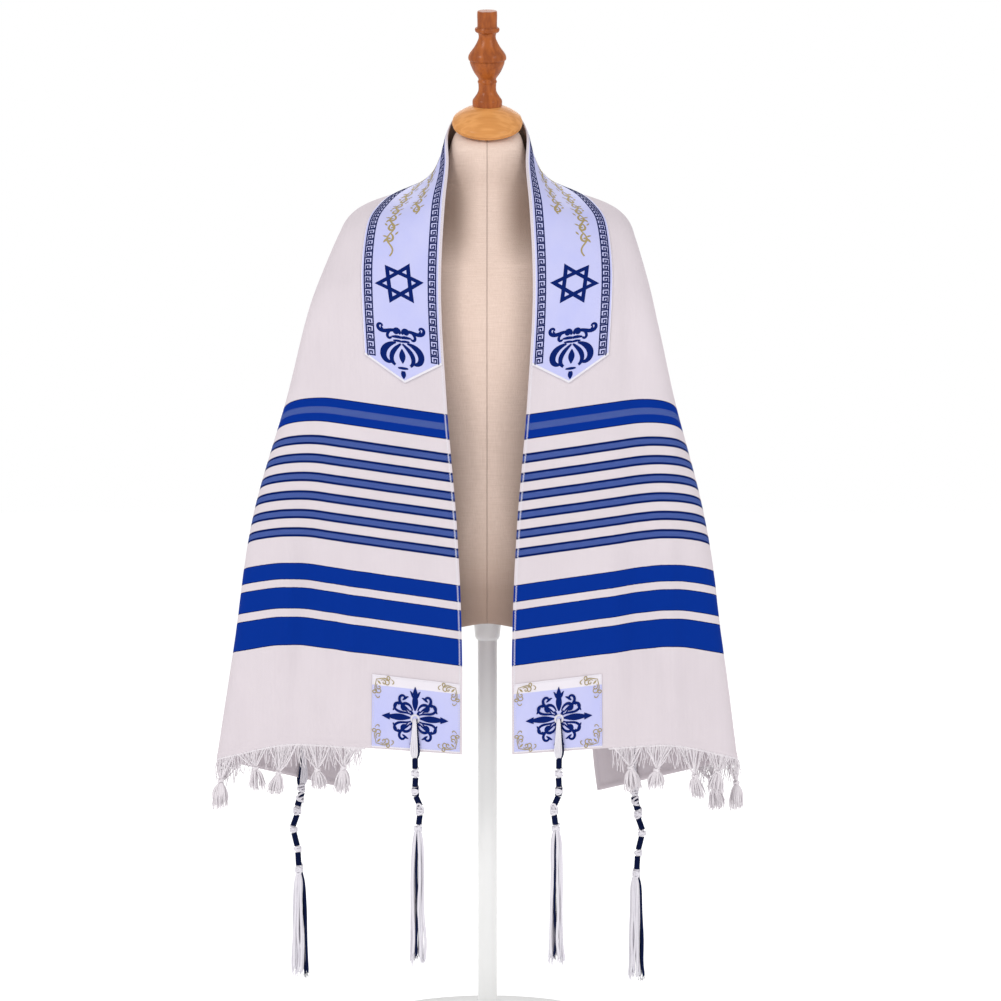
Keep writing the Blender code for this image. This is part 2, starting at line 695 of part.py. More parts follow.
def build_fringe(side, collection, scratch, material):
    """Build one hem's fringe: a narrow strip with knotted bunches of locks."""
    name = "fringe_left" if side < 0 else "fringe_right"
    columns = [place for place in WALL_ACROSS if FRINGE_START < place < FRINGE_END]
    frames = [cloth_frame(side * HALF_LENGTH, place) for place in columns]
    skins = []
    for lift in (-STRIP_THICK / 2, STRIP_THICK / 2):
        upper = [hem + toward * SEAM_GAP + outward * lift for hem, outward, toward, _ in frames]
        lower = [hem + toward * (SEAM_GAP + STRIP_DROP) + outward * lift for hem, outward, toward, _ in frames]
        skins.append(np.array([upper, lower]))
    strip = slab_mesh(name, skins[0], skins[1])
    pieces = []
    for number, (across, fan, drop, tail, lean) in enumerate(BUNCHES, start=1):
        hem, _, toward, beside = cloth_frame(side * HALF_LENGTH, across)
        fall = toward * 0.4 - UP * 0.6
        fall /= np.linalg.norm(fall)
        knot = hem + fall * drop + beside * lean
        for index in range(FAN_STRANDS):
            place = across + fan * (index / (FAN_STRANDS - 1) - 0.5)
            root, _, root_toward, _ = cloth_frame(side * HALF_LENGTH, place)
            root = root + root_toward * (SEAM_GAP + STRIP_DROP * 0.5)
            radii = [FAN_RADIUS, FAN_RADIUS * 1.2]
            pieces.append(tube_object(f"{name}_fan_{number}_{index}", [root, knot], radii, scratch))
        for index in range(TAIL_LOCKS):
            swing = (index - (TAIL_LOCKS - 1) / 2) * TAIL_APART
            end = knot - UP * tail * (1.0 - 0.08 * index) + beside * (swing + lean * 0.6)
            points = [knot, knot * 0.45 + end * 0.55 + beside * swing * 0.5, end]
            radii = [TAIL_RADIUS * 0.8, TAIL_RADIUS * 1.5, TAIL_RADIUS * 0.7]
            pieces.append(tube_object(f"{name}_tail_{number}_{index}", points, radii, scratch))
        pieces.append(knot_object(f"{name}_knot_{number}", knot, scratch))
    return fuse(name, strip, pieces, collection, material)


def knot_object(name, centre, collection):
    """Return a small round knot."""
    solid = bmesh.new()
    bmesh.ops.create_icosphere(solid, subdivisions=1, radius=FRINGE_KNOT_RADIUS)
    bmesh.ops.translate(solid, verts=solid.verts, vec=Vector(centre))
    mesh = bpy.data.meshes.new(name)
    solid.to_mesh(mesh)
    solid.free()
    knot = bpy.data.objects.new(name, mesh)
    collection.objects.link(knot)
    knot.hide_render = True
    knot.display_type = "WIRE"
    return knot


def form_ring(row):
    """Return the points of one ring of the dress form."""
    z, half_width, front, back, centre_y, power, arch, tilt = row
    points = []
    for index in range(FORM_SIDES):
        angle = 2 * pi * index / FORM_SIDES
        wide, deep = cos(angle), sin(angle)
        x = half_width * abs(wide) ** (2 / power) * (1 if wide >= 0 else -1)
        reach = back if deep >= 0 else front
        y = centre_y + reach * abs(deep) ** (2 / power) * (1 if deep >= 0 else -1)
        lift = arch * np.exp(-((x / ARCH_HALF_WIDTH) ** 2)) + (y - centre_y) * tan(radians(tilt))
        points.append((x, y, z + lift))
    return points


def build_form(collection, material):
    """Build the dress form as a loft through its rings, closed at underside and neck."""
    vertices = []
    faces = []
    for row in FORM_RINGS:
        vertices.extend(form_ring(row))
    rings = len(FORM_RINGS)
    for ring in range(rings - 1):
        for index in range(FORM_SIDES):
            after = (index + 1) % FORM_SIDES
            low, high = ring * FORM_SIDES, (ring + 1) * FORM_SIDES
            faces.append((low + index, low + after, high + after, high + index))
    faces.append(tuple(range(FORM_SIDES)))
    faces.append(tuple(range((rings - 1) * FORM_SIDES, rings * FORM_SIDES)))
    return add_object("form_body", mesh_from_faces("form_body", vertices, faces), collection, material, 50)


def turned_object(name, profile, collection, material, sides=TURNED_SIDES):
    """Turn a profile of (radius, height) points, from the top axis down to the lower axis."""
    mesh = bpy.data.meshes.new(name)
    edges = [(index, index + 1) for index in range(len(profile) - 1)]
    mesh.from_pydata([(radius, 0.0, height) for radius, height in profile], edges, [])
    item = add_object(name, mesh, collection, material)
    screw = item.modifiers.new("turn", "SCREW")
    screw.axis = "Z"
    screw.steps = sides
    screw.render_steps = sides
    screw.use_merge_vertices = True
    screw.merge_threshold = 0.00005
    screw.use_normal_calculate = True
    screw.use_smooth_shade = True
    return item


def cap_axis(tilt):
    """Return the direction of an axis that leans forwards by tilt degrees."""
    return Vector((0.0, -sin(radians(tilt)), cos(radians(tilt))))


def build_cap_and_finial(collection, cutter_collection, cap_material, finial_material):
    """Build the domed neck cap with a flat seat, and the turned finial that stands on it."""
    centre = Vector(CAP_CENTRE)
    dome_radius = (CAP_RADIUS ** 2 + CAP_DOME ** 2) / (2 * CAP_DOME)
    dome_centre = CAP_DOME - dome_radius
    profile = []
    for step in range(DOME_RINGS + 1):
        radius = CAP_RADIUS * 0.97 * step / DOME_RINGS
        profile.append((radius, dome_centre + (dome_radius ** 2 - radius ** 2) ** 0.5))
    profile += [
        (CAP_RADIUS, -0.0005),
        (CAP_RADIUS, 0.0015 - CAP_THICK),
        (CAP_RADIUS - 0.0015, -CAP_THICK),
        (0.0, -CAP_THICK),
    ]
    cap = turned_object("neck_cap", profile, collection, cap_material)
    cap.location = centre
    cap.rotation_euler = (radians(CAP_TILT), 0.0, 0.0)
    sphere_centre = centre + cap_axis(CAP_TILT) * dome_centre
    axis = cap_axis(FINIAL_TILT)
    seat = sphere_centre + axis * (dome_radius - SEAT_DEPTH)
    solid = bmesh.new()
    bmesh.ops.create_cone(
        solid,
        cap_ends=True,
        segments=TURNED_SIDES,
        radius1=FINIAL_SEAT_RADIUS,
        radius2=FINIAL_SEAT_RADIUS,
        depth=SEAT_CUT,
    )
    mesh = bpy.data.meshes.new("finial_seat")
    solid.to_mesh(mesh)
    solid.free()
    cutter = add_object("finial_seat", mesh, cutter_collection)
    cutter.location = seat + axis * SEAT_CUT / 2
    cutter.rotation_euler = (radians(FINIAL_TILT), 0.0, 0.0)
    cutter.hide_render = True
    cutter.display_type = "WIRE"
    cut_with(cap, cutter)
    outline = [(0.0, FINIAL_HEIGHT)]
    outline += [(radius, FINIAL_HEIGHT - depth) for depth, radius in FINIAL_PROFILE]
    outline.append((0.0, 0.0))
    finial = turned_object("neck_finial", outline, collection, finial_material, sides=16)
    finial.location = seat + axis * REST_GAP
    finial.rotation_euler = (radians(FINIAL_TILT), 0.0, 0.0)


def build_stand(collection, material):
    """Build the round base plate and the pole with its flange under the form."""
    base_profile = [
        (0.0, HUB_TOP),
        (HUB_RADIUS - 0.004, HUB_TOP),
        (HUB_RADIUS, HUB_TOP - 0.004),
        (HUB_RADIUS + 0.002, BASE_HEIGHT + 0.006),
        (HUB_RADIUS + 0.008, BASE_HEIGHT + 0.001),
        (BASE_RADIUS - BASE_EDGE, BASE_HEIGHT),
        (BASE_RADIUS - 0.003, BASE_HEIGHT - 0.006),
        (BASE_RADIUS, BASE_HEIGHT - BASE_EDGE),
        (BASE_RADIUS - 0.002, 0.0),
        (0.0, 0.0),
    ]
    turned_object("stand_base", base_profile, collection, material, sides=32)
    pole_top = FORM_RINGS[0][0] - REST_GAP
    pole_foot = HUB_TOP + REST_GAP
    pole_profile = [
        (0.0, pole_top),
        (FLANGE_RADIUS, pole_top),
        (FLANGE_RADIUS, pole_top - 0.004),
        (FLANGE_RADIUS / 2, pole_top - 0.008),
        (POLE_RADIUS + 0.0035, pole_top - 0.030),
        (POLE_RADIUS, pole_top - 0.034),
        (POLE_RADIUS, pole_foot),
        (0.0, pole_foot),
    ]
    turned_object("stand_pole", pole_profile, collection, material, sides=20)


def main():
    """Build every piece of the shawl, the dress form and the stand."""
    clear_scene()
    model = make_collection("tallit_on_dress_form")
    cutting = make_collection("cutters")
    finishes = {name: make_material(name) for name in FINISHES}
    cutters = build_eyelet_cutters(cutting)
    build_cloth(model, finishes["shawl_weave"], cutters)
    build_neckband(model, finishes["satin"])
    build_patches(model, finishes["satin"], cutters)
    for corner in CORNERS:
        build_tassel(corner, model, cutting, finishes["tassel_yarn"])
    for side in (-1.0, 1.0):
        build_fringe(side, model, cutting, finishes["tassel_yarn"])
    build_form(model, finishes["form_linen"])
    build_cap_and_finial(model, cutting, finishes["cap_wood"], finishes["finial_wood"])
    build_stand(model, finishes["stand_paint"])


main()
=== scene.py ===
"""Looks of the tallit prayer shawl on its dress form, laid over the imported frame.

Every piece is designed flat, in the cloth's own measures, and then carried onto the hanging
form. "across" runs from the edge round the neck (0) to the outer edge (0.50), and "along" runs
from the middle of the back (0) to the hem (0.90), negative on the viewer's left. Lengths are
metres and +Z is up; the shawl's front faces -Y.
"""

import logging
from dataclasses import dataclass, field
from enum import Enum
from typing import Iterable, NamedTuple, Sequence

import bmesh
import bpy
import numpy as np
from math import cos, pi, radians, sin, tan
from mathutils import Euler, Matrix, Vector


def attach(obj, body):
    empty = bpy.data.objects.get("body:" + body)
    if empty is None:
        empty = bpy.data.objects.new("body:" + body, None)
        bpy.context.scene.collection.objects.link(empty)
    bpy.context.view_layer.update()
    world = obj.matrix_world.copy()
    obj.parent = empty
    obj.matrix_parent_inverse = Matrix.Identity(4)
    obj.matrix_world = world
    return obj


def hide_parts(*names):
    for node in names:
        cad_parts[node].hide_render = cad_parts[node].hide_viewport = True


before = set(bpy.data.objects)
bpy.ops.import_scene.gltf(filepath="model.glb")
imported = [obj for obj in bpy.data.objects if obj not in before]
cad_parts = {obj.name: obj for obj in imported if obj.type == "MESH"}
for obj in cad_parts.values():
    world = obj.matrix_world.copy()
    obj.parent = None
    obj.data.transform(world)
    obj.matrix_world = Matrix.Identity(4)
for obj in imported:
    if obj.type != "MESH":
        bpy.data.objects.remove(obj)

logging.basicConfig(level=logging.INFO, format="%(message)s")
LOG = logging.getLogger("shawl")

Colour = tuple[float, float, float]
Array = np.ndarray
Faces = list[tuple[int, ...]]

# Shawl, in the solids' flat sizes. Its shell is thinner than they are.
CLOTH_WIDTH = 0.50
HALF_LENGTH = 0.90
FOLD_ROUNDING = 0.07
RIGHT_PANEL_SHARE = 0.92
NARROWING_START = 0.15
ACROSS_GRID = np.linspace(0.0, CLOTH_WIDTH, 201)
ALONG_STEPS = 450
SHELL_HALF = 0.00045
HEM_HALF = 0.00085
HEM_WIDTH = 0.006
EDGE_SEAM = 0.0032

# Trim
BAND_EDGE = 0.003
BAND_WIDTH = 0.100
BAND_SIDE_END = 0.4030
BAND_TIP_END = 0.4350
BAND_LIFT = 0.0011
BAND_THICK = 0.0009
PATCH_EDGE = 0.003
PATCH_WIDTH = 0.111
PATCH_HEIGHT = 0.087
PATCH_HEM = 0.002
PRINT_LIFT = 0.00006
TRIM_SINK = 0.0002
TURNED_EDGE = 0.0010
MITRE_LIMIT = 0.45
# Dark sheet inside the collar at the nape: painted shade of the cloth's shadowed inner side.
COLLAR_SHADE_REACH = 0.105
COLLAR_SHADE_WIDTH = (0.0025, 0.050)
COLLAR_SHADE_LIFT = (-0.0014, -0.00095)
EYELET_ACROSS = 0.0595
EYELET_ALONG = 0.860

# Corner tassels and fringe
CORD_RADIUS = 0.0037
KNOT_RADIUS = 0.0053
LOOP_STANDOFF = 0.0052
REAR_LOOP_SLANT = 0.010
HEAD_BELOW_HEM = 0.0085
FRONT_TASSEL_LENGTH = 0.259
REAR_TASSEL_LENGTH = 0.240
# How far the strands reach past the solids
FRONT_STRAND_EXTRA = 0.005
REAR_STRAND_EXTRA = 0.010

# Dress form and stand
FORM_SIDES = 32
ARCH_HALF_WIDTH = 0.022
CAP_TILT = 30.0
CAP_RADIUS = 0.0455
CAP_CENTRE = (0.0, -0.002, 1.1990)
CAP_DOME = 0.018
CAP_THICK = 0.0070
SEAT_DEPTH = 0.0030
FINIAL_TILT = 16.0
FINIAL_HEIGHT = 0.1220
FINIAL_RADIUS = 0.0245
POLE_RADIUS = 0.0125
BASE_RADIUS = 0.190
BASE_EDGE = 0.012
BASE_HEIGHT = 0.018
HUB_RADIUS = 0.028
HUB_TOP = 0.050
FLANGE_RADIUS = 0.036
REST_GAP = 0.0004

# Camera
CAMERA_PLACE = (0.017, -3.60, 0.900)
CAMERA_TARGET = (0.017, -0.10, 0.714)
CAMERA_LENS = 99.9

UP = np.array((0.0, 0.0, 1.0))


class Section(NamedTuple):
    """Course of the cloth at one place along: the neck edge, then three stretches."""

    along: float
    out: float
    y: float
    z: float
    bearing_1: float
    bearing_2: float
    bearing_3: float
    dip_1: float
    dip_2: float
    dip_3: float
    fold_1: float
    fold_2: float


SECTIONS = (
    Section(0.000, 0.0000, 0.062, 1.222, 90, 90, 90, 80, 50, 86, 0.055, 0.150),
    Section(0.040, 0.0360, 0.045, 1.212, 70, 72, 85, 78, 44, 86, 0.055, 0.150),
    Section(0.080, 0.0500, 0.000, 1.187, 35, 45, 75, 76, 20, 85, 0.054, 0.145),
    Section(0.130, 0.0495, -0.036, 1.142, 10, 12, 55, 50, 8, 82, 0.050, 0.143),
    Section(0.200, 0.0535, -0.082, 1.085, 8, 10, 80, 13, 6, 78, 0.066, 0.141),
    Section(0.300, 0.0575, -0.112, 0.990, 0, 12, 100, -4, 14, 68, 0.108, 0.167),
    Section(0.450, 0.0505, -0.125, 0.841, 0, 15, 105, -8, 12, 54, 0.160, 0.208),
    Section(0.620, 0.0370, -0.125, 0.672, 0, 10, 118, -8, 8, 38, 0.205, 0.267),
    Section(0.760, 0.0315, -0.122, 0.534, 0, 10, 142, -8, 10, 24, 0.222, 0.296),
    Section(0.900, 0.0315, -0.118, 0.394, 0, 10, 164, -4, 14, 15, 0.222, 0.326),
)


class Flute(NamedTuple):
    """Soft swell or hollow that fans out from a shoulder. Side -1 is the viewer's left."""

    side: int
    along: float
    half_width: float
    start: float
    reach: float
    height: float


FLUTES = (
    Flute(-1, 0.030, 0.020, 0.17, 0.22, 0.007),
    Flute(-1, 0.072, 0.022, 0.16, 0.24, -0.008),
    Flute(-1, 0.112, 0.022, 0.16, 0.26, 0.008),
    Flute(-1, 0.205, 0.042, 0.16, 0.26, 0.020),
    Flute(-1, 0.300, 0.042, 0.19, 0.26, -0.026),
    Flute(-1, 0.398, 0.044, 0.23, 0.25, 0.030),
    Flute(-1, 0.500, 0.046, 0.27, 0.24, -0.028),
    Flute(-1, 0.612, 0.048, 0.30, 0.22, 0.024),
    Flute(-1, 0.725, 0.050, 0.33, 0.20, -0.014),
    Flute(1, 0.048, 0.022, 0.16, 0.24, -0.008),
    Flute(1, 0.092, 0.024, 0.16, 0.26, 0.009),
    Flute(1, 0.185, 0.040, 0.16, 0.26, 0.018),
    Flute(1, 0.275, 0.042, 0.18, 0.26, -0.025),
    Flute(1, 0.370, 0.042, 0.21, 0.26, 0.028),
    Flute(1, 0.465, 0.044, 0.24, 0.25, -0.030),
    Flute(1, 0.570, 0.048, 0.27, 0.23, 0.026),
    Flute(1, 0.685, 0.050, 0.30, 0.20, -0.018),
)


class Crease(NamedTuple):
    """Soft ridge (or trough, height below zero) from one flat place to another."""

    side: int
    from_along: float
    to_along: float
    from_across: float
    to_across: float
    half_width: float
    height: float


CREASES = (
    Crease(-1, 0.30, 0.88, 0.150, 0.205, 0.014, -0.004),
    Crease(-1, 0.50, 0.95, 0.205, 0.232, 0.010, 0.004),
    Crease(1, 0.28, 0.82, 0.120, 0.165, 0.013, -0.004),
    Crease(1, 0.45, 0.95, 0.185, 0.212, 0.010, 0.004),
)
CREASE_RISE = 0.12
CREASE_FALL = 0.10

# Lesser folds of the back sheet, which fan out below the neckband.
BACK_FOLDS = (
    Flute(-1, 0.015, 0.010, 0.20, 0.15, 0.0035),
    Flute(-1, 0.052, 0.010, 0.22, 0.16, -0.0030),
    Flute(-1, 0.093, 0.011, 0.20, 0.15, 0.0035),
    Flute(-1, 0.140, 0.012, 0.22, 0.16, -0.0035),
    Flute(1, 0.022, 0.010, 0.20, 0.15, -0.0030),
    Flute(1, 0.070, 0.011, 0.22, 0.16, 0.0035),
    Flute(1, 0.118, 0.012, 0.20, 0.15, -0.0035),
    Flute(1, 0.155, 0.012, 0.20, 0.20, 0.0035),
)

# Lesser folds. They fade at both ends.
SOFT_FOLDS = (
    Crease(-1, 0.44, 0.78, 0.070, 0.105, 0.016, 0.0022),
    Crease(-1, 0.52, 0.88, 0.020, 0.050, 0.012, -0.0010),
    Crease(-1, 0.20, 0.52, 0.118, 0.135, 0.008, -0.0016),
    Crease(-1, 0.58, 0.92, 0.128, 0.150, 0.012, 0.0034),
    Crease(-1, 0.66, 0.93, 0.160, 0.168, 0.008, -0.0026),
    Crease(-1, 0.72, 0.93, 0.190, 0.196, 0.009, 0.0034),
    Crease(-1, 0.10, 0.30, 0.150, 0.230, 0.012, 0.0028),
    Crease(-1, 0.16, 0.42, 0.180, 0.330, 0.014, -0.0030),
    Crease(-1, 0.05, 0.20, 0.200, 0.400, 0.013, 0.0018),
    Crease(-1, 0.62, 0.92, 0.270, 0.300, 0.012, 0.0026),
    Crease(-1, 0.55, 0.86, 0.330, 0.370, 0.013, -0.0022),
    Crease(-1, 0.34, 0.62, 0.380, 0.420, 0.014, 0.0022),
    Crease(-1, 0.00, 0.09, 0.170, 0.340, 0.016, -0.0018),
    Crease(1, 0.42, 0.74, 0.060, 0.098, 0.016, 0.0021),
    Crease(1, 0.55, 0.90, 0.022, 0.044, 0.011, -0.0010),
    Crease(1, 0.21, 0.50, 0.112, 0.126, 0.008, -0.0015),
    Crease(1, 0.60, 0.92, 0.118, 0.136, 0.012, 0.0032),
    Crease(1, 0.68, 0.93, 0.150, 0.158, 0.008, -0.0026),
    Crease(1, 0.70, 0.93, 0.176, 0.184, 0.009, 0.0034),
    Crease(1, 0.09, 0.28, 0.145, 0.220, 0.012, 0.0028),
    Crease(1, 0.15, 0.40, 0.175, 0.320, 0.014, -0.0030),
    Crease(1, 0.04, 0.18, 0.210, 0.410, 0.013, 0.0018),
    Crease(1, 0.60, 0.92, 0.255, 0.285, 0.012, 0.0026),
    Crease(1, 0.52, 0.84, 0.320, 0.355, 0.013, -0.0022),
    Crease(1, 0.36, 0.60, 0.385, 0.430, 0.014, 0.0020),
    Crease(1, 0.00, 0.07, 0.190, 0.380, 0.018, -0.0018),
)


class Ring(NamedTuple):
    """One ring of the dress form."""

    z: float
    half_width: float
    front: float
    back: float
    centre_y: float
    power: float
    arch: float = 0.0
    tilt: float = 0.0


FORM_RINGS = (
    Ring(0.5620, 0.045, 0.045, 0.045, 0.000, 2.0),
    Ring(0.5590, 0.110, 0.072, 0.084, 0.000, 2.2),
    Ring(0.5475, 0.144, 0.091, 0.104, 0.000, 2.3, 0.012),
    Ring(0.5520, 0.150, 0.095, 0.108, 0.000, 2.3, 0.010),
    Ring(0.6200, 0.158, 0.099, 0.112, 0.000, 2.3),
    Ring(0.6900, 0.142, 0.092, 0.097, 0.000, 2.2),
    Ring(0.7600, 0.118, 0.081, 0.079, 0.000, 2.2),
    Ring(0.8300, 0.120, 0.088, 0.078, 0.000, 2.2),
    Ring(0.9100, 0.132, 0.102, 0.086, 0.000, 2.2),
    Ring(0.9800, 0.146, 0.094, 0.096, 0.000, 2.2),
    Ring(1.0400, 0.1615, 0.074, 0.0972, 0.005, 2.2),
    Ring(1.0758, 0.1550, 0.062, 0.0864, 0.010, 2.1),
    Ring(1.0995, 0.1245, 0.048, 0.072, 0.012, 2.0),
    Ring(1.1147, 0.0838, 0.041, 0.061, 0.008, 2.0, tilt=4),
    Ring(1.1403, 0.0565, 0.042, 0.053, 0.003, 2.0, tilt=12),
    Ring(1.1650, 0.047, 0.040, 0.046, -0.001, 2.0, tilt=22),
    Ring(1.1900, 0.043, 0.041, 0.041, -0.002, 2.0, tilt=30),
)

# Turned profile of the finial: depth below its top and radius.
FINIAL_PROFILE = (
    (0.0000, 0.0105), (0.0020, 0.0127), (0.0200, 0.0127), (0.0215, 0.0150), (0.0240, 0.0158),
    (0.0268, 0.0148), (0.0285, 0.0118), (0.0350, 0.0112), (0.0450, 0.0160), (0.0540, 0.0225),
    (0.0590, 0.0244), (0.0625, 0.0240), (0.0632, 0.0223), (0.0672, 0.0220), (0.0780, 0.0174),
    (0.0868, 0.0116), (0.0908, 0.0125), (0.0940, 0.0115), (0.1030, 0.0118), (0.1110, 0.0165),
    (0.1150, 0.0190), (0.1220, 0.0190),
)


class Wind(NamedTuple):
    """One winding or knot of a corner tassel, below the end of its loop."""

    start: float
    end: float
    radius: float
    sway: float


FRONT_TASSEL = (
    Wind(0.0000, 0.0135, CORD_RADIUS, 0.0002),
    Wind(0.0150, 0.0240, KNOT_RADIUS, 0.0006),
    Wind(0.0255, 0.0365, CORD_RADIUS, 0.0000),
    Wind(0.0380, 0.0480, 0.0044, 0.0010),
    Wind(0.0490, 0.0605, CORD_RADIUS, 0.0062),
    Wind(0.0620, 0.0715, KNOT_RADIUS, 0.0060),
    Wind(0.0730, 0.0845, CORD_RADIUS, 0.0046),
    Wind(0.0855, 0.0930, KNOT_RADIUS, 0.0034),
)
REAR_TASSEL = (
    Wind(0.0000, 0.0090, KNOT_RADIUS, 0.0010),
    Wind(0.0105, 0.0270, 0.0042, -0.0040),
    Wind(0.0285, 0.0375, KNOT_RADIUS, -0.0050),
    Wind(0.0390, 0.0530, CORD_RADIUS, -0.0100),
    Wind(0.0545, 0.0610, KNOT_RADIUS, -0.0090),
    Wind(0.0625, 0.0790, CORD_RADIUS, -0.0050),
    Wind(0.0805, 0.0865, KNOT_RADIUS, -0.0040),
    Wind(0.0880, 0.1045, CORD_RADIUS, -0.0030),
    Wind(0.1060, 0.1150, KNOT_RADIUS, -0.0020),
)


class Bunch(NamedTuple):
    """One knotted bunch of the fringe."""

    across: float
    fan: float
    drop: float
    tail: float
    lean: float


BUNCHES = (
    Bunch(0.146, 0.034, 0.027, 0.034, 0.004),
    Bunch(0.186, 0.034, 0.032, 0.026, -0.003),
    Bunch(0.226, 0.032, 0.036, 0.028, 0.006),
    Bunch(0.268, 0.034, 0.024, 0.030, -0.005),
    Bunch(0.308, 0.030, 0.030, 0.036, 0.003),
    Bunch(0.347, 0.030, 0.028, 0.032, -0.004),
)


class Corner(Enum):
    """Corners of the shawl: side (-1 is the viewer's left) and whether it is the back sheet's."""

    FRONT_LEFT = (-1, False)
    FRONT_RIGHT = (1, False)
    REAR_LEFT = (-1, True)
    REAR_RIGHT = (1, True)

    @property
    def side(self) -> int:
        """Side of the shawl."""
        return self.value[0]

    @property
    def rear(self) -> bool:
        """Whether the corner belongs to the back sheet."""
        return self.value[1]

    @property
    def node(self) -> str:
        """Ending of the corner's node names."""
        return self.name.lower()

    def across(self, place: float | Array) -> float | Array:
        """Measure a place from the near edge, or from the outer edge at a rear corner."""
        return CLOTH_WIDTH - place if self.rear else place


class StripeKind(Enum):
    """Ways in which a stripe is woven."""

    SOLID = "solid"
    TWILL = "twill"
    HERRINGBONE = "herringbone"
    LINE = "line"


class Stripe(NamedTuple):
    """One stripe, by its distances above the hem."""

    kind: StripeKind
    low: float
    high: float


THIN_FIRST = 0.2502
THIN_PITCH = 0.02396
THIN_WIDTH = 0.0125
LINE_WIDTH = 0.0029


def edged(kind: StripeKind, low: float, high: float, line: float = 0.0010) -> list[Stripe]:
    """Return a stripe with a dark line along each edge."""
    middle = Stripe(kind, low + line, high - line)
    return [Stripe(StripeKind.LINE, low, low + line), middle, Stripe(StripeKind.LINE, high - line, high)]


def thin_stripes() -> list[Stripe]:
    """Return the six thin stripes, from the lowest to the highest."""
    stripes = []
    for number in range(6):
        low = THIN_FIRST + THIN_PITCH * number
        stripes += edged(StripeKind.TWILL, low, low + THIN_WIDTH, LINE_WIDTH)
    return stripes


STRIPES = (
    *edged(StripeKind.SOLID, 0.1122, 0.1464),
    *edged(StripeKind.SOLID, 0.1563, 0.1837),
    *edged(StripeKind.SOLID, 0.1936, 0.2156),
    *thin_stripes(),
    Stripe(StripeKind.LINE, 0.4002, 0.4014),
    Stripe(StripeKind.SOLID, 0.4014, 0.4116),
    Stripe(StripeKind.HERRINGBONE, 0.4116, 0.4202),
    Stripe(StripeKind.SOLID, 0.4202, 0.4308),
    Stripe(StripeKind.LINE, 0.4308, 0.4320),
)


# Form of the cloth


def smooth_step(value: Array) -> Array:
    """Rise softly from 0 to 1."""
    value = np.clip(value, 0.0, 1.0)
    return value * value * (3.0 - 2.0 * value)


def section_values(along: Array) -> Array:
    """Read every column of the section table at places along, by cubic curves.

    Args:
        along: Places along the cloth.

    Returns:
        One row for each column after the first, each shaped (places, 1).
    """
    rows = np.array(SECTIONS, float)
    stations = rows[:, 0]
    values = rows[:, 1:]
    slopes = np.gradient(values, stations, axis=0)
    slopes[0] = 0.0
    slopes[0, 0] = (values[1, 0] - values[0, 0]) / (stations[1] - stations[0])
    place = np.abs(along)
    index = np.clip(np.searchsorted(stations, place, side="right") - 1, 0, len(stations) - 2)
    span = (stations[index + 1] - stations[index])[:, None]
    t = (place[:, None] - stations[index][:, None]) / span
    start, end = values[index], values[index + 1]
    start_slope, end_slope = slopes[index] * span, slopes[index + 1] * span
    blend = (1 + 2 * t) * (1 - t) ** 2 * start + t * (1 - t) ** 2 * start_slope
    blend += t * t * (3 - 2 * t) * end + t * t * (t - 1) * end_slope
    return blend.T[:, :, None]


def plain_cloth(along: Array) -> Array:
    """Return points of the cloth without flutes.

    Args:
        along: Places along the cloth.

    Returns:
        Points shaped (places, across, 3).
    """
    out, y, z, b1, b2, b3, d1, d2, d3, fold_1, fold_2 = section_values(along)
    narrowing = (1 - RIGHT_PANEL_SHARE) * smooth_step((np.abs(along)[:, None] - NARROWING_START) / 0.2)
    share = np.where(along[:, None] > 0, 1 - narrowing, 1.0)
    first = smooth_step((ACROSS_GRID[None] - fold_1 * share) / FOLD_ROUNDING + 0.5)
    second = smooth_step((ACROSS_GRID[None] - fold_2 * share) / FOLD_ROUNDING + 0.5)
    bearing = np.radians(b1 + (b2 - b1) * first + (b3 - b2) * second)
    dip = np.radians(d1 + (d2 - d1) * first + (d3 - d2) * second)
    level = np.cos(dip)
    direction = np.stack([level * np.cos(bearing), level * np.sin(bearing), -np.sin(dip)], -1)
    moves = (direction[:, 1:] + direction[:, :-1]) / 2 * (ACROSS_GRID[1] - ACROSS_GRID[0])
    start = np.concatenate([out, y, z], 1)[:, None, :]
    points = np.concatenate([start, start + np.cumsum(moves, axis=1)], 1)
    points[..., 0] *= np.where(along < 0, -1.0, 1.0)[:, None]
    return points


def crease_lift(place: Array, across: Array, crease: Crease) -> Array:
    """Return the height of one crease that starts and ends softly.

    Args:
        place: Places along, positive on the crease's own side.
        across: Places across.
        crease: The crease.

    Returns:
        Heights, shaped as the two inputs broadcast.
    """
    share = np.clip((place - crease.from_along) / (crease.to_along - crease.from_along), 0.0, 1.0)
    fade = smooth_step((place - crease.from_along) / CREASE_RISE)
    fade = fade * smooth_step((crease.to_along - place) / CREASE_FALL)
    middle = crease.from_across + (crease.to_across - crease.from_across) * share
    return crease.height * fade * np.exp(-(((across - middle) / crease.half_width) ** 2))


def cloth_relief(along: Array) -> Array:
    """Return how far flutes, creases and lesser folds lift the cloth.

    Args:
        along: Places along the cloth.

    Returns:
        Heights shaped (places, across).
    """
    place = along[:, None]
    across = ACROSS_GRID[None]
    lift = np.zeros((len(along), len(ACROSS_GRID)))
    for flute in FLUTES + BACK_FOLDS:
        swell = np.exp(-(((place * flute.side - flute.along) / flute.half_width) ** 2))
        lift += flute.height * swell * smooth_step((across - flute.start) / flute.reach)
    for crease in CREASES + SOFT_FOLDS:
        lift += crease_lift(place * crease.side, across, crease)
    return lift


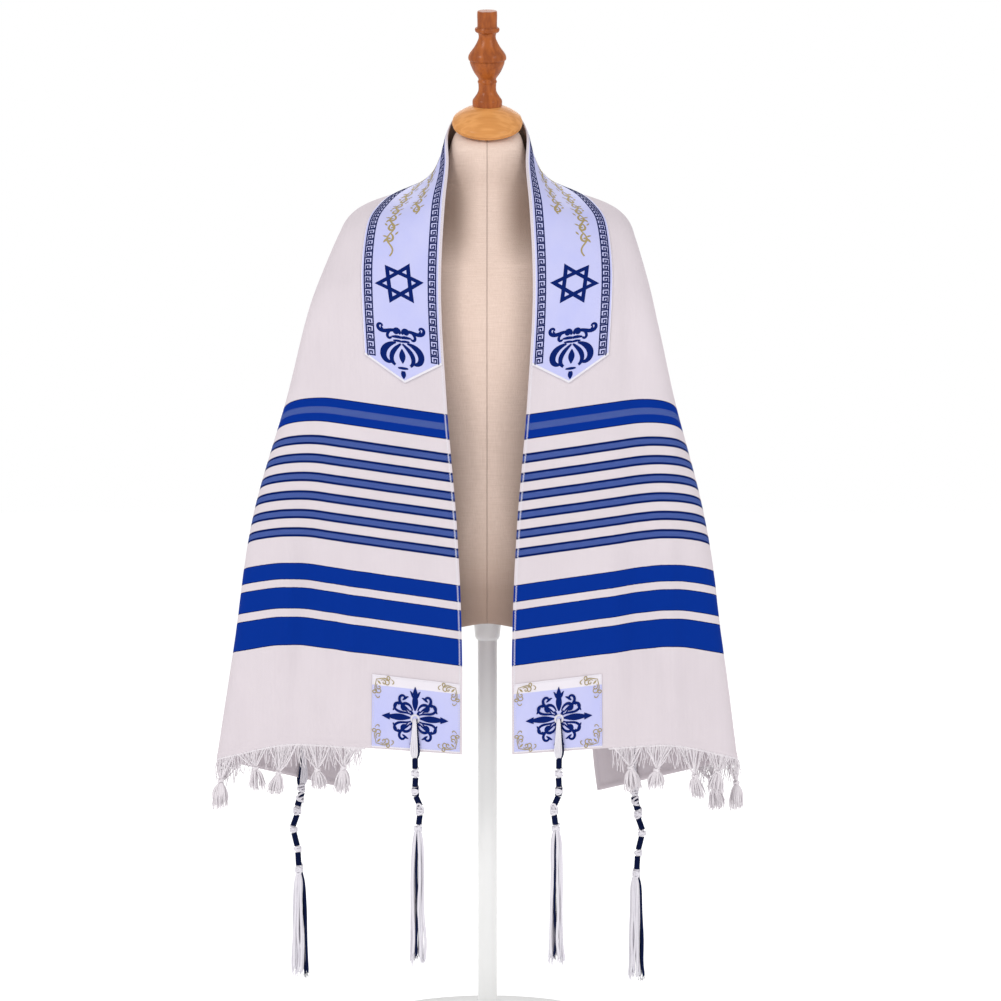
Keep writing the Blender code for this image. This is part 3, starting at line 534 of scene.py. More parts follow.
@dataclass
class ClothForm:
    """The hanging form of the shawl, which carries flat places to points in space."""

    along: Array = field(default_factory=lambda: np.linspace(-HALF_LENGTH, HALF_LENGTH, ALONG_STEPS + 1))
    points: Array = field(init=False)
    normals: Array = field(init=False)

    def __post_init__(self) -> None:
        """Work out the points and the outward directions once."""
        plain = plain_cloth(self.along)
        small = 0.004
        lengthwise = plain_cloth(self.along + small) - plain_cloth(self.along - small)
        normals = np.cross(lengthwise, np.gradient(plain, ACROSS_GRID, axis=1))
        self.normals = normals / np.linalg.norm(normals, axis=2, keepdims=True)
        self.points = plain + self.normals * cloth_relief(self.along)[..., None]

    def locate(self, along: Array, across: Array, lift: float | Array = 0.0) -> Array:
        """Carry flat places onto the hanging cloth.

        Args:
            along: Places along.
            across: Places across.
            lift: Height above the cloth's middle surface.

        Returns:
            Points, with a last axis of 3.
        """
        along, across, lift = np.broadcast_arrays(along, across, np.asarray(lift, float))
        row = (along + HALF_LENGTH) / (2 * HALF_LENGTH) * ALONG_STEPS
        column = across / CLOTH_WIDTH * (len(ACROSS_GRID) - 1)
        i = np.clip(np.floor(row).astype(int), 0, ALONG_STEPS - 1)
        j = np.clip(np.floor(column).astype(int), 0, len(ACROSS_GRID) - 2)
        s, t = (row - i)[..., None], (column - j)[..., None]

        def blend(grid: Array) -> Array:
            near = grid[i, j] * (1 - t) + grid[i, j + 1] * t
            far = grid[i + 1, j] * (1 - t) + grid[i + 1, j + 1] * t
            return near * (1 - s) + far * s

        return blend(self.points) + blend(self.normals) * lift[..., None]

    def frame(self, along: float, across: float) -> tuple[Array, Array, Array, Array]:
        """Return a point of the cloth with its outward, hemward and crosswise directions.

        Args:
            along: Place along.
            across: Place across.

        Returns:
            Point, outward, hemward and crosswise unit vectors.
        """
        side = 1.0 if along > 0 else -1.0
        here, above, left, right = self.locate(
            np.array([along, along - side * 0.008, along, along]),
            np.array([across, across, across - 0.002, across + 0.002]),
        )
        hemward = (here - above) / np.linalg.norm(here - above)
        crosswise = (right - left) / np.linalg.norm(right - left)
        outward = np.cross(crosswise, hemward) * -side
        return here, outward / np.linalg.norm(outward), hemward, crosswise


FORM = ClothForm()


# Meshes


def make_mesh(name: str, vertices: Array, faces: Faces, flat: Array | None = None) -> bpy.types.Mesh:
    """Return a mesh from points and faces.

    Args:
        name: Name of the mesh.
        vertices: Points.
        faces: Corner numbers of each face.
        flat: Flat place (across, along) of each vertex, kept as the UV map.

    Returns:
        The mesh.
    """
    mesh = bpy.data.meshes.new(name)
    mesh.from_pydata(np.asarray(vertices).tolist(), [], faces)
    if flat is not None:
        layer = mesh.uv_layers.new(name="flat")
        corners = np.zeros(len(mesh.loops), int)
        mesh.loops.foreach_get("vertex_index", corners)
        layer.data.foreach_set("uv", np.asarray(flat)[corners].astype(np.float32).ravel())
    return mesh


def turn_outward(mesh: bpy.types.Mesh) -> None:
    """Make the faces of each closed shell of a mesh point outwards.

    Args:
        mesh: The mesh.
    """
    solid = bmesh.new()
    solid.from_mesh(mesh)
    bmesh.ops.recalc_face_normals(solid, faces=solid.faces)
    solid.to_mesh(mesh)
    solid.free()


def grid_faces(rows: int, columns: int, start: int = 0, closed: bool = False) -> Faces:
    """Return the faces between the points of a grid.

    Args:
        rows: Number of rows.
        columns: Number of points in a row.
        start: Number of the grid's first vertex.
        closed: Whether each row is a closed ring.

    Returns:
        The faces.
    """
    faces = []
    for row in range(rows - 1):
        base = start + row * columns
        for column in range(columns if closed else columns - 1):
            after = (column + 1) % columns
            faces.append((base + column, base + columns + column, base + columns + after, base + after))
    return faces


def slab(name: str, along: Array, across: Array, low: Array, high: Array) -> bpy.types.Mesh:
    """Return a closed shell on the cloth, between two heights.

    Args:
        name: Name of the mesh.
        along: Places along, shaped (rows, columns).
        across: Places across, of the same shape.
        low: Height of the underside.
        high: Height of the upper side.

    Returns:
        The mesh, with flat places as its UV map.
    """
    rows, columns = along.shape
    count = rows * columns
    skins = [FORM.locate(along, across, height).reshape(-1, 3) for height in (low, high)]
    faces = grid_faces(rows, columns) + grid_faces(rows, columns, count)
    rim = [(0, column) for column in range(columns)]
    rim += [(row, columns - 1) for row in range(1, rows)]
    rim += [(rows - 1, column) for column in range(columns - 2, -1, -1)]
    rim += [(row, 0) for row in range(rows - 2, 0, -1)]
    numbers = [row * columns + column for row, column in rim]
    for here, after in zip(numbers, numbers[1:] + numbers[:1]):
        faces.append((here, after, after + count, here + count))
    flat = np.stack([across.ravel(), along.ravel()], 1)
    mesh = make_mesh(name, np.concatenate(skins), faces, np.concatenate([flat, flat]))
    turn_outward(mesh)
    return mesh


def smooth_path(points: Array, step: float) -> Array:
    """Return a smooth curve through points, evenly spaced.

    Args:
        points: Points of the curve.
        step: Longest distance between two points of the result.

    Returns:
        Points of the smooth curve.
    """
    points = np.asarray(points, float)
    padded = np.concatenate([[2 * points[0] - points[1]], points, [2 * points[-1] - points[-2]]])
    course = []
    for a, b, c, d in zip(padded, padded[1:], padded[2:], padded[3:]):
        for t in np.linspace(0.0, 1.0, 12, endpoint=False):
            point = 2 * b + (c - a) * t + (2 * a - 5 * b + 4 * c - d) * t**2
            course.append(0.5 * (point + (3 * b - a - 3 * c + d) * t**3))
    course.append(points[-1])
    return resample(np.array(course), step)


def resample(points: Array, step: float) -> Array:
    """Return points evenly spaced along a polyline.

    Args:
        points: Corners of the polyline.
        step: Longest distance between two points of the result.

    Returns:
        Evenly spaced points with the same two ends.
    """
    lengths = np.linalg.norm(np.diff(points, axis=0), axis=1)
    place = np.concatenate([[0.0], np.cumsum(lengths)])
    count = max(2, int(np.ceil(place[-1] / step)) + 1)
    wanted = np.linspace(0.0, place[-1], count)
    return np.stack([np.interp(wanted, place, points[:, axis]) for axis in range(points.shape[1])], 1)


class MeshPile:
    """Vertices and faces of many small shapes, gathered into one mesh."""

    def __init__(self) -> None:
        """Start with nothing."""
        self.vertices: list[Array] = []
        self.faces: Faces = []
        self.count = 0

    def add(self, vertices: Array, faces: Iterable[tuple[int, ...]]) -> None:
        """Add one shape.

        Args:
            vertices: Its points.
            faces: Its faces, numbered from 0.
        """
        self.faces.extend(tuple(corner + self.count for corner in face) for face in faces)
        self.vertices.append(np.asarray(vertices, float))
        self.count += len(vertices)

    def mesh(self, name: str) -> bpy.types.Mesh:
        """Return everything as one mesh."""
        return make_mesh(name, np.concatenate(self.vertices), self.faces)


def add_tube(
    pile: MeshPile, path: Array, radius: Array, sides: int = 8, plies: int = 0, lay: float = 0.0
) -> None:
    """Add a closed tube along a path, plain or twisted like yarn.

    Args:
        pile: Where the tube goes.
        path: Points along its middle.
        radius: Radius at each point, or one for all.
        sides: Number of sides.
        plies: Number of plies that show, or 0 for a plain tube.
        lay: Length of one turn of the twist.
    """
    path = np.asarray(path, float)
    radius = np.broadcast_to(radius, (len(path),))
    tangent = np.gradient(path, axis=0)
    tangent /= np.linalg.norm(tangent, axis=1, keepdims=True)
    side = np.cross(tangent[0], (0.31, 0.95, 0.05))
    sides_along = []
    for direction in tangent:
        side = side - direction * np.dot(side, direction)
        side /= np.linalg.norm(side)
        sides_along.append(side)
    first = np.array(sides_along)[:, None]
    second = np.cross(tangent, np.array(sides_along))[:, None]
    angle = np.linspace(0.0, 2 * pi, sides, endpoint=False)[None, :, None]
    ring = radius[:, None, None] * np.ones_like(angle)
    if plies:
        run = np.concatenate([[0.0], np.cumsum(np.linalg.norm(np.diff(path, axis=0), axis=1))])
        phase = plies * (angle - 2 * pi * run[:, None, None] / lay)
        ring = ring * (0.86 + 0.20 * np.abs(np.cos(phase / 2)))
    points = path[:, None] + ring * (first * np.cos(angle) + second * np.sin(angle))
    faces = grid_faces(len(path), sides, closed=True)
    faces.append(tuple(range(sides)))
    faces.append(tuple(range((len(path) - 1) * sides, len(path) * sides))[::-1])
    pile.add(points.reshape(-1, 3), faces)


# Finishes


class Graph:
    """Nodes of one material, added and linked in short steps."""

    def __init__(self, name: str, **constants: float) -> None:
        """Start a Principled material.

        Args:
            name: Name of the material.
            constants: Values for the shader's sockets, with spaces as underscores.
        """
        self.material = bpy.data.materials.new(name)
        self.material.use_nodes = True
        self.tree = self.material.node_tree
        self.shader = self.tree.nodes["Principled BSDF"]
        for socket, value in constants.items():
            self.shader.inputs[socket.replace("_", " ")].default_value = value

    def node(self, kind: str, **settings: object) -> bpy.types.Node:
        """Add a node.

        Args:
            kind: Node type without its "ShaderNode" beginning.
            settings: Attributes of the node.

        Returns:
            The node.
        """
        node = self.tree.nodes.new("ShaderNode" + kind)
        for attribute, value in settings.items():
            setattr(node, attribute, value)
        return node

    def feed(self, socket: bpy.types.NodeSocket, value: object) -> None:
        """Link or set an input.

        Args:
            socket: The input.
            value: A socket to link, or a value.
        """
        if isinstance(value, bpy.types.NodeSocket):
            self.tree.links.new(value, socket)
        elif isinstance(value, tuple) and len(value) == 3 and socket.type == "RGBA":
            socket.default_value = (*value, 1.0)
        else:
            socket.default_value = value

    def math(self, operation: str, *values: object, clamp: bool = False) -> bpy.types.NodeSocket:
        """Add a Math node.

        Args:
            operation: Its operation.
            values: Sockets or numbers.
            clamp: Whether the result is kept from 0 to 1.

        Returns:
            Its output.
        """
        node = self.node("Math", operation=operation, use_clamp=clamp)
        for socket, value in zip(node.inputs, values):
            self.feed(socket, value)
        return node.outputs[0]

    def mix(self, share: object, first: object, second: object) -> bpy.types.NodeSocket:
        """Mix two colours.

        Args:
            share: Share of the second colour.
            first: First colour.
            second: Second colour.

        Returns:
            The mixed colour.
        """
        node = self.node("Mix", data_type="RGBA")
        self.feed(node.inputs[0], share)
        self.feed(node.inputs[6], first)
        self.feed(node.inputs[7], second)
        return node.outputs[2]

    def noise(self, place: object, scale: Sequence[float], detail: float = 2.0) -> bpy.types.NodeSocket:
        """Add noise stretched by a scale on each axis.

        Args:
            place: Coordinates.
            scale: Scale on each axis.
            detail: Detail of the noise.

        Returns:
            Values near 0.5.
        """
        mapping = self.node("Mapping")
        mapping.inputs["Scale"].default_value = scale
        self.feed(mapping.inputs["Vector"], place)
        node = self.node("TexNoise")
        node.inputs["Scale"].default_value = 1.0
        node.inputs["Detail"].default_value = detail
        self.feed(node.inputs["Vector"], mapping.outputs[0])
        return node.outputs[0]

    def inside(self, value: object, spans: Sequence[tuple[float, float]]) -> bpy.types.NodeSocket:
        """Return 1 within any of the spans and 0 elsewhere.

        Args:
            value: The value to test.
            spans: Lowest and highest value of each span.

        Returns:
            The mask.
        """
        masks = [self.math("COMPARE", value, (low + high) / 2, (high - low) / 2) for low, high in spans]
        whole = masks[0]
        for mask in masks[1:]:
            whole = self.math("MAXIMUM", whole, mask)
        return whole

    def bump(self, height: object, depth: float) -> None:
        """Roughen the surface.

        Args:
            height: Height from 0 to 1.
            depth: What 1 stands for, in metres.
        """
        node = self.node("Bump")
        node.inputs["Strength"].default_value = 1.0
        node.inputs["Distance"].default_value = depth
        self.feed(node.inputs["Height"], height)
        self.tree.links.new(node.outputs[0], self.shader.inputs["Normal"])

    def flat_place(self) -> tuple[bpy.types.NodeSocket, bpy.types.NodeSocket, bpy.types.NodeSocket]:
        """Return the flat place: the coordinates, then across and along."""
        place = self.node("UVMap", uv_map="flat").outputs[0]
        parts = self.node("SeparateXYZ")
        self.feed(parts.inputs[0], place)
        return place, parts.outputs[0], parts.outputs[1]

    def object_place(self) -> bpy.types.NodeSocket:
        """Return the object's own coordinates, in metres."""
        return self.node("TexCoord").outputs["Object"]

    def colour(self, value: object) -> None:
        """Set the base colour."""
        self.feed(self.shader.inputs["Base Color"], value)


@dataclass(frozen=True)
class WovenStripes:
    """White cloth with blue stripes woven across both ends."""

    white: Colour = (0.69, 0.625, 0.660)
    shade: Colour = (0.60, 0.540, 0.575)
    royal: Colour = (0.001, 0.026, 0.250)
    navy: Colour = (0.001, 0.009, 0.085)
    pale: Colour = (0.10, 0.145, 0.33)
    thread: float = 0.0011
    wobble: float = 0.0007
    twill_pitch: float = 0.0030
    zigzag_width: float = 0.0030
    zigzag_pitch: float = 0.0026
    pale_half: float = 0.27

    def build(self) -> bpy.types.Material:
        """Return the material."""
        graph = Graph(
            "shawl_weave", Roughness=0.86, Sheen_Weight=0.02, Sheen_Roughness=0.45, Specular_IOR_Level=0.04
        )
        place, across, along = graph.flat_place()
        wobble = graph.math("SUBTRACT", graph.noise(place, (700, 90, 1)), 0.5)
        height = graph.math("SUBTRACT", HALF_LENGTH, graph.math("ABSOLUTE", along))
        height = graph.math("MULTIPLY_ADD", wobble, self.wobble, height)
        streak = graph.noise(place, (420, 12, 1), 3.0)
        cloud = graph.noise(place, (16, 9, 1), 2.0)
        tone = graph.math("MULTIPLY_ADD", cloud, 0.8, graph.math("MULTIPLY", streak, 0.3), clamp=True)
        colour = graph.mix(tone, self.white, self.shade)
        slope = graph.math("ADD", across, along)
        twill = graph.math("FRACT", graph.math("DIVIDE", slope, self.twill_pitch))
        twill = graph.math("COMPARE", twill, 0.5, self.pale_half)
        zigzag = graph.math("ADD", height, graph.math("PINGPONG", across, self.zigzag_width))
        zigzag = graph.math("FRACT", graph.math("DIVIDE", zigzag, self.zigzag_pitch))
        zigzag = graph.math("COMPARE", zigzag, 0.5, self.pale_half)
        inks = {
            StripeKind.SOLID: self.royal,
            StripeKind.TWILL: graph.mix(twill, self.royal, self.pale),
            StripeKind.HERRINGBONE: graph.mix(zigzag, self.royal, self.pale),
            StripeKind.LINE: self.navy,
        }
        for kind, ink in inks.items():
            spans = [(stripe.low, stripe.high) for stripe in STRIPES if stripe.kind is kind]
            colour = graph.mix(graph.inside(height, spans), colour, ink)
        graph.colour(colour)
        warp = graph.math("SINE", graph.math("MULTIPLY", across, 2 * pi / self.thread))
        weft = graph.math("SINE", graph.math("MULTIPLY", along, 2 * pi / self.thread))
        weave = graph.math("MULTIPLY_ADD", graph.math("MULTIPLY", warp, weft), 0.25, 0.5)
        graph.bump(graph.math("ADD", weave, graph.math("MULTIPLY", streak, 0.8)), 0.00022)
        return graph.material


@dataclass(frozen=True)
class Satin:
    """Lavender satin that is white within given margins."""

    name: str
    lavender: Colour = (0.425, 0.445, 0.775)
    white: Colour = (0.72, 0.68, 0.735)
    edge_across: tuple[tuple[float, float], ...] = ()
    edge_height: tuple[tuple[float, float], ...] = ()

    def build(self) -> bpy.types.Material:
        """Return the material."""
        graph = Graph(self.name, Roughness=0.44, Sheen_Weight=0.08, Sheen_Roughness=0.3)
        place, across, along = graph.flat_place()
        height = graph.math("SUBTRACT", HALF_LENGTH, graph.math("ABSOLUTE", along))
        cloud = graph.noise(place, (30, 18, 1), 2.0)
        colour = graph.mix(graph.math("MULTIPLY", cloud, 0.35), self.lavender, self.white)
        if self.edge_across:
            colour = graph.mix(graph.inside(across, self.edge_across), colour, self.white)
        if self.edge_height:
            colour = graph.mix(graph.inside(height, self.edge_height), colour, self.white)
        graph.colour(colour)
        thread = graph.noise(place, (1600, 160, 1), 1.0)
        graph.bump(thread, 0.00010)
        return graph.material


@dataclass(frozen=True)
class Thread:
    """Embroidery or yarn in one colour, with its fibres along the object's own axes."""

    name: str
    base: Colour
    dark: Colour
    roughness: float = 0.7
    sheen: float = 0.3
    metallic: float = 0.0
    fibre: float = 1500.0
    depth: float = 0.00012

    def build(self) -> bpy.types.Material:
        """Return the material."""
        graph = Graph(
            self.name, Roughness=self.roughness, Metallic=self.metallic, Sheen_Weight=self.sheen,
            Sheen_Roughness=0.5, Specular_IOR_Level=0.05,
        )
        place = graph.object_place()
        fibres = graph.noise(place, (self.fibre, self.fibre, self.fibre * 0.35), 2.0)
        cloud = graph.noise(place, (60, 60, 60), 1.0)
        tone = graph.math("MULTIPLY_ADD", fibres, 0.7, graph.math("MULTIPLY", cloud, 0.3), clamp=True)
        graph.colour(graph.mix(tone, self.base, self.dark))
        graph.bump(fibres, self.depth)
        return graph.material


@dataclass(frozen=True)
class Linen:
    """Natural linen with slubs and a seam down its middle, darkened by painted shade beside the neck and at
    the hips.
    """

    light: Colour = (0.78, 0.61, 0.525)
    slub: Colour = (0.67, 0.505, 0.42)
    # Colour of the painted shade, also used for the seam.
    low: Colour = (0.30, 0.20, 0.152)
    # Where the painted shade falls: the flanks and lower body at the hips, and both sides of the neck.
    hip_fade: tuple[float, float] = (0.87, 0.57)
    hip_depth: float = 0.90
    neck_height: float = 1.085
    neck_reach: float = 0.075
    neck_depth: float = 0.92
    flank_start: float = 0.010
    flank_width: float = 0.032
    foot_height: float = 0.73
    foot_reach: float = 0.13
    seam_half: float = 0.0011

    def build(self) -> bpy.types.Material:
        """Return the material."""
        graph = Graph("form_linen", Roughness=0.92, Sheen_Weight=0.2, Sheen_Roughness=0.6)
        place = graph.object_place()
        warp = graph.noise(place, (1300, 1300, 45), 2.0)
        weft = graph.noise(place, (55, 55, 1200), 2.0)
        weave = graph.math("MULTIPLY_ADD", graph.math("ADD", warp, weft), 1.4, -0.9, clamp=True)
        parts = graph.node("SeparateXYZ")
        graph.feed(parts.inputs[0], place)
        aside, height = graph.math("ABSOLUTE", parts.outputs[0]), parts.outputs[2]
        # Painted shade: darker flanks and lower body below the waist.
        depth = graph.node("MapRange", clamp=True)
        for socket, value in zip(depth.inputs, (height, *self.hip_fade, 0.0, self.hip_depth)):
            graph.feed(socket, value)
        flank = graph.math("SUBTRACT", aside, self.flank_start)
        flank = graph.math("DIVIDE", flank, self.flank_width, clamp=True)
        foot = graph.math("SUBTRACT", self.foot_height, height)
        foot = graph.math("DIVIDE", foot, self.foot_reach, clamp=True)
        hips = graph.math("MULTIPLY", depth.outputs[0], graph.math("MAXIMUM", flank, foot))
        # Painted shadow at both sides of the neck.
        neck = graph.math("DIVIDE", graph.math("SUBTRACT", height, self.neck_height), self.neck_reach)
        neck = graph.math("SUBTRACT", 1.0, graph.math("MULTIPLY", neck, neck), clamp=True)
        neck = graph.math("MULTIPLY", graph.math("MULTIPLY", neck, flank), self.neck_depth)
        painted_shade_mask = graph.math("MAXIMUM", hips, neck)
        colour = graph.mix(painted_shade_mask, graph.mix(weave, self.light, self.slub), self.low)
        seam = graph.math("SUBTRACT", 1.0, graph.math("DIVIDE", aside, self.seam_half), clamp=True)
        graph.colour(graph.mix(graph.math("MULTIPLY", seam, 0.55), colour, self.low))
        graph.bump(graph.math("SUBTRACT", weave, graph.math("MULTIPLY", seam, 2.5)), 0.00030)
        return graph.material


@dataclass(frozen=True)
class VarnishedWood:
    """Turned wood under clear varnish. The grain runs along the axis of its smallest scale."""

    name: str
    light: Colour
    dark: Colour
    grain: tuple[float, float, float]

    def build(self) -> bpy.types.Material:
        """Return the material."""
        graph = Graph(
            self.name, Roughness=0.48, Coat_Weight=0.16, Coat_Roughness=0.16, Specular_IOR_Level=0.2
        )
        place = graph.object_place()
        bands = graph.math("SINE", graph.math("MULTIPLY", graph.noise(place, self.grain, 3.0), 26.0))
        bands = graph.math("MULTIPLY_ADD", bands, 0.5, 0.5)
        pores = graph.noise(place, tuple(value * 9 for value in self.grain), 3.0)
        tone = graph.math("MULTIPLY_ADD", bands, 0.65, graph.math("MULTIPLY", pores, 0.35), clamp=True)
        graph.colour(graph.mix(tone, self.light, self.dark))
        graph.bump(pores, 0.00012)
        return graph.material


@dataclass(frozen=True)
class PowderCoat:
    """White powder coat on steel, with a fine orange-peel surface."""

    base: Colour = (0.86, 0.86, 0.85)

    def build(self) -> bpy.types.Material:
        """Return the material."""
        graph = Graph("stand_paint", Roughness=0.38, Coat_Weight=0.2, Coat_Roughness=0.2)
        place = graph.object_place()
        peel = graph.noise(place, (900, 900, 900), 1.0)
        cloud = graph.noise(place, (14, 14, 14), 2.0)
        darker = tuple(value * 0.93 for value in self.base)
        graph.colour(graph.mix(cloud, self.base, darker))
        graph.bump(peel, 0.00008)
        return graph.material


@dataclass
class Palette:
    """The finishes that the pieces share, each made once."""

    weave: bpy.types.Material
    band: bpy.types.Material
    patch: bpy.types.Material
    lining: bpy.types.Material
    navy: bpy.types.Material
    royal: bpy.types.Material
    gold: bpy.types.Material
    white_yarn: bpy.types.Material
    navy_yarn: bpy.types.Material
    fringe_yarn: bpy.types.Material
    linen: bpy.types.Material
    cap: bpy.types.Material
    finial: bpy.types.Material
    paint: bpy.types.Material

    @classmethod
    def make(cls) -> "Palette":
        """Return every finish."""
        top = PATCH_HEM + PATCH_HEIGHT
        return cls(
            weave=WovenStripes().build(),
            band=Satin("neckband_satin", edge_across=((0.0, 0.0036), (BAND_WIDTH - 0.0008, 0.5))).build(),
            patch=Satin("patch_satin", edge_height=((0.0, 0.0035), (top - 0.0125, 0.9))).build(),
            # Dark brown of the painted shade inside the collar.
            lining=Thread("neck_lining", (0.36, 0.29, 0.25), (0.25, 0.19, 0.16), 0.9, 0.0).build(),
            navy=Thread("print_navy", (0.006, 0.015, 0.100), (0.003, 0.008, 0.060), 0.7, 0.0).build(),
            royal=Thread("print_royal", (0.002, 0.015, 0.140), (0.001, 0.009, 0.095), 0.7, 0.0).build(),
            gold=Thread("print_gold", (0.43, 0.345, 0.17), (0.29, 0.22, 0.10), 0.42, 0.05, 0.25).build(),
            white_yarn=Thread("tassel_yarn", (0.80, 0.78, 0.82), (0.60, 0.575, 0.635), 0.85, 0.1).build(),
            navy_yarn=Thread("navy_yarn", (0.005, 0.010, 0.052), (0.002, 0.005, 0.026), 0.85, 0.0).build(),
            fringe_yarn=Thread("fringe_yarn", (0.80, 0.76, 0.79), (0.62, 0.575, 0.605), 0.88, 0.1).build(),
            linen=Linen().build(),
            cap=VarnishedWood(
                "cap_wood", (0.71, 0.325, 0.100), (0.55, 0.225, 0.055), grain=(9.0, 60.0, 60.0)
            ).build(),
            finial=VarnishedWood(
                "finial_wood", (0.40, 0.105, 0.016), (0.23, 0.050, 0.007), grain=(60.0, 60.0, 9.0)
            ).build(),
            paint=PowderCoat().build(),
        )


# Pieces


def place_piece(
    name: str,
    mesh: bpy.types.Mesh,
    material: bpy.types.Material | Sequence[bpy.types.Material],
    nodes: Sequence[str] = (),
    sharp: float = 40.0,
) -> bpy.types.Object:
    """Add a finished piece to the scene.

    Args:
        name: Name of the piece.
        mesh: Its mesh.
        material: Its finish, or several for its material slots.
        nodes: Nodes of the frame that it stands for.
        sharp: Angle above which an edge stays sharp, in degrees.

    Returns:
        The piece.
    """
    for finish in [material] if isinstance(material, bpy.types.Material) else material:
        mesh.materials.append(finish)
    mesh.shade_smooth()
    mesh.set_sharp_from_angle(angle=radians(sharp))
    piece = bpy.data.objects.new(name, mesh)
    bpy.context.scene.collection.objects.link(piece)
    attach(piece, "root")
    if nodes:
        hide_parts(*nodes)
    LOG.info("%s: %d faces", name, len(mesh.polygons))
    return piece


# Repeats, laid flat and then carried onto the cloth


def repeat_tree() -> bpy.types.NodeTree:
    """Return the Geometry Nodes tree that repeats a unit along a line.

    Returns:
        The tree, with the inputs Unit, Pitch, Swing and Finish.
    """
    tree = bpy.data.node_groups.new("repeat_along", "GeometryNodeTree")
    face = tree.interface
    inputs = {"Geometry": "Geometry", "Unit": "Object", "Pitch": "Float", "Swing": "Float"}
    for name, kind in {**inputs, "Finish": "Material"}.items():
        face.new_socket(name, in_out="INPUT", socket_type=f"NodeSocket{kind}")
    face.new_socket("Geometry", in_out="OUTPUT", socket_type="NodeSocketGeometry")
    add = tree.nodes.new
    link = tree.links.new
    source, result = add("NodeGroupInput"), add("NodeGroupOutput")
    curve, points = add("GeometryNodeMeshToCurve"), add("GeometryNodeCurveToPoints")
    points.mode = "LENGTH"
    unit, copies = add("GeometryNodeObjectInfo"), add("GeometryNodeInstanceOnPoints")
    turn, realize = add("GeometryNodeRotateInstances"), add("GeometryNodeRealizeInstances")
    paint, index = add("GeometryNodeSetMaterial"), add("GeometryNodeInputIndex")
    align = add("FunctionNodeAlignRotationToVector")
    align.axis = "X"
    align.pivot_axis = "Z"
    odd, way, swing = (add("ShaderNodeMath") for _ in range(3))
    spin = add("ShaderNodeCombineXYZ")
    odd.operation = "MODULO"
    odd.inputs[1].default_value = 2.0
    way.operation = "MULTIPLY_ADD"
    way.inputs[1].default_value = 2.0
    way.inputs[2].default_value = -1.0
    swing.operation = "MULTIPLY"
    link(source.outputs["Geometry"], curve.inputs[0])
    link(curve.outputs[0], points.inputs[0])
    link(source.outputs["Pitch"], points.inputs["Length"])
    link(source.outputs["Unit"], unit.inputs[0])
    link(points.outputs["Points"], copies.inputs["Points"])
    link(unit.outputs["Geometry"], copies.inputs["Instance"])
    link(points.outputs["Tangent"], align.inputs["Vector"])
    link(align.outputs[0], copies.inputs["Rotation"])
    link(index.outputs[0], odd.inputs[0])
    link(odd.outputs[0], way.inputs[0])
    link(way.outputs[0], swing.inputs[0])
    link(source.outputs["Swing"], swing.inputs[1])
    link(swing.outputs[0], spin.inputs[2])
    link(copies.outputs[0], turn.inputs[0])
    link(spin.outputs[0], turn.inputs["Rotation"])
    link(turn.outputs[0], realize.inputs[0])
    link(realize.outputs[0], paint.inputs[0])
    link(source.outputs["Finish"], paint.inputs["Material"])
    link(paint.outputs[0], result.inputs[0])
    return tree


class Repeater:
    """Repeats a flat unit along a flat line, and hands back the result as a mesh."""

    def __init__(self) -> None:
        """Make the tree once."""
        self.tree = repeat_tree()

    def run(
        self,
        name: str,
        unit: bpy.types.Mesh,
        line: Array,
        pitch: float,
        swing: float,
        finish: bpy.types.Material,
    ) -> bpy.types.Mesh:
        """Return copies of a unit along a line.

        Args:
            name: Name of the mesh.
            unit: The unit, with its run along x.
            line: Points of the flat line.
            pitch: Distance between copies.
            swing: Angle by which copies turn to either side in turn, in radians.
            finish: Finish of the copies.

        Returns:
            The mesh, in flat places.
        """
        scene = bpy.context.scene.collection
        model = bpy.data.objects.new(name + "_unit", unit)
        edges = [(place, place + 1) for place in range(len(line) - 1)]
        guide = bpy.data.meshes.new(name)
        guide.from_pydata(np.asarray(line).tolist(), edges, [])
        carrier = bpy.data.objects.new(name + "_line", guide)
        scene.objects.link(model)
        scene.objects.link(carrier)
        modifier = carrier.modifiers.new("repeat", "NODES")
        modifier.node_group = self.tree
        values = {"Unit": model, "Pitch": pitch, "Swing": swing, "Finish": finish}
        for item in self.tree.interface.items_tree:
            if item.in_out == "INPUT" and item.name in values:
                modifier[item.identifier] = values[item.name]
        evaluated = carrier.evaluated_get(bpy.context.evaluated_depsgraph_get())
        mesh = bpy.data.meshes.new_from_object(evaluated)
        mesh.materials.clear()
        carrier.modifiers.clear()
        bpy.data.objects.remove(carrier)
        bpy.data.objects.remove(model)
        return mesh


def drape(mesh: bpy.types.Mesh, base: float, side: int = 1, corner: Corner | None = None) -> bpy.types.Mesh:
    """Carry a flat mesh (x across, y along, z height) onto the hanging cloth.

    Args:
        mesh: The flat mesh.
        base: Height of its z = 0 above the cloth's middle.
        side: Half of the cloth that it lies on.
        corner: Corner whose own "across" it is measured in.

    Returns:
        The same mesh, carried.
    """
    count = len(mesh.vertices)
    flat = np.zeros(count * 3)
    mesh.vertices.foreach_get("co", flat)
    flat = flat.reshape(count, 3)
    across = corner.across(flat[:, 0]) if corner else flat[:, 0]
    carried = FORM.locate(flat[:, 1] * side, across, flat[:, 2] + base)
    mesh.vertices.foreach_set("co", carried.ravel())
    mesh.update()
    turn_outward(mesh)
    return mesh


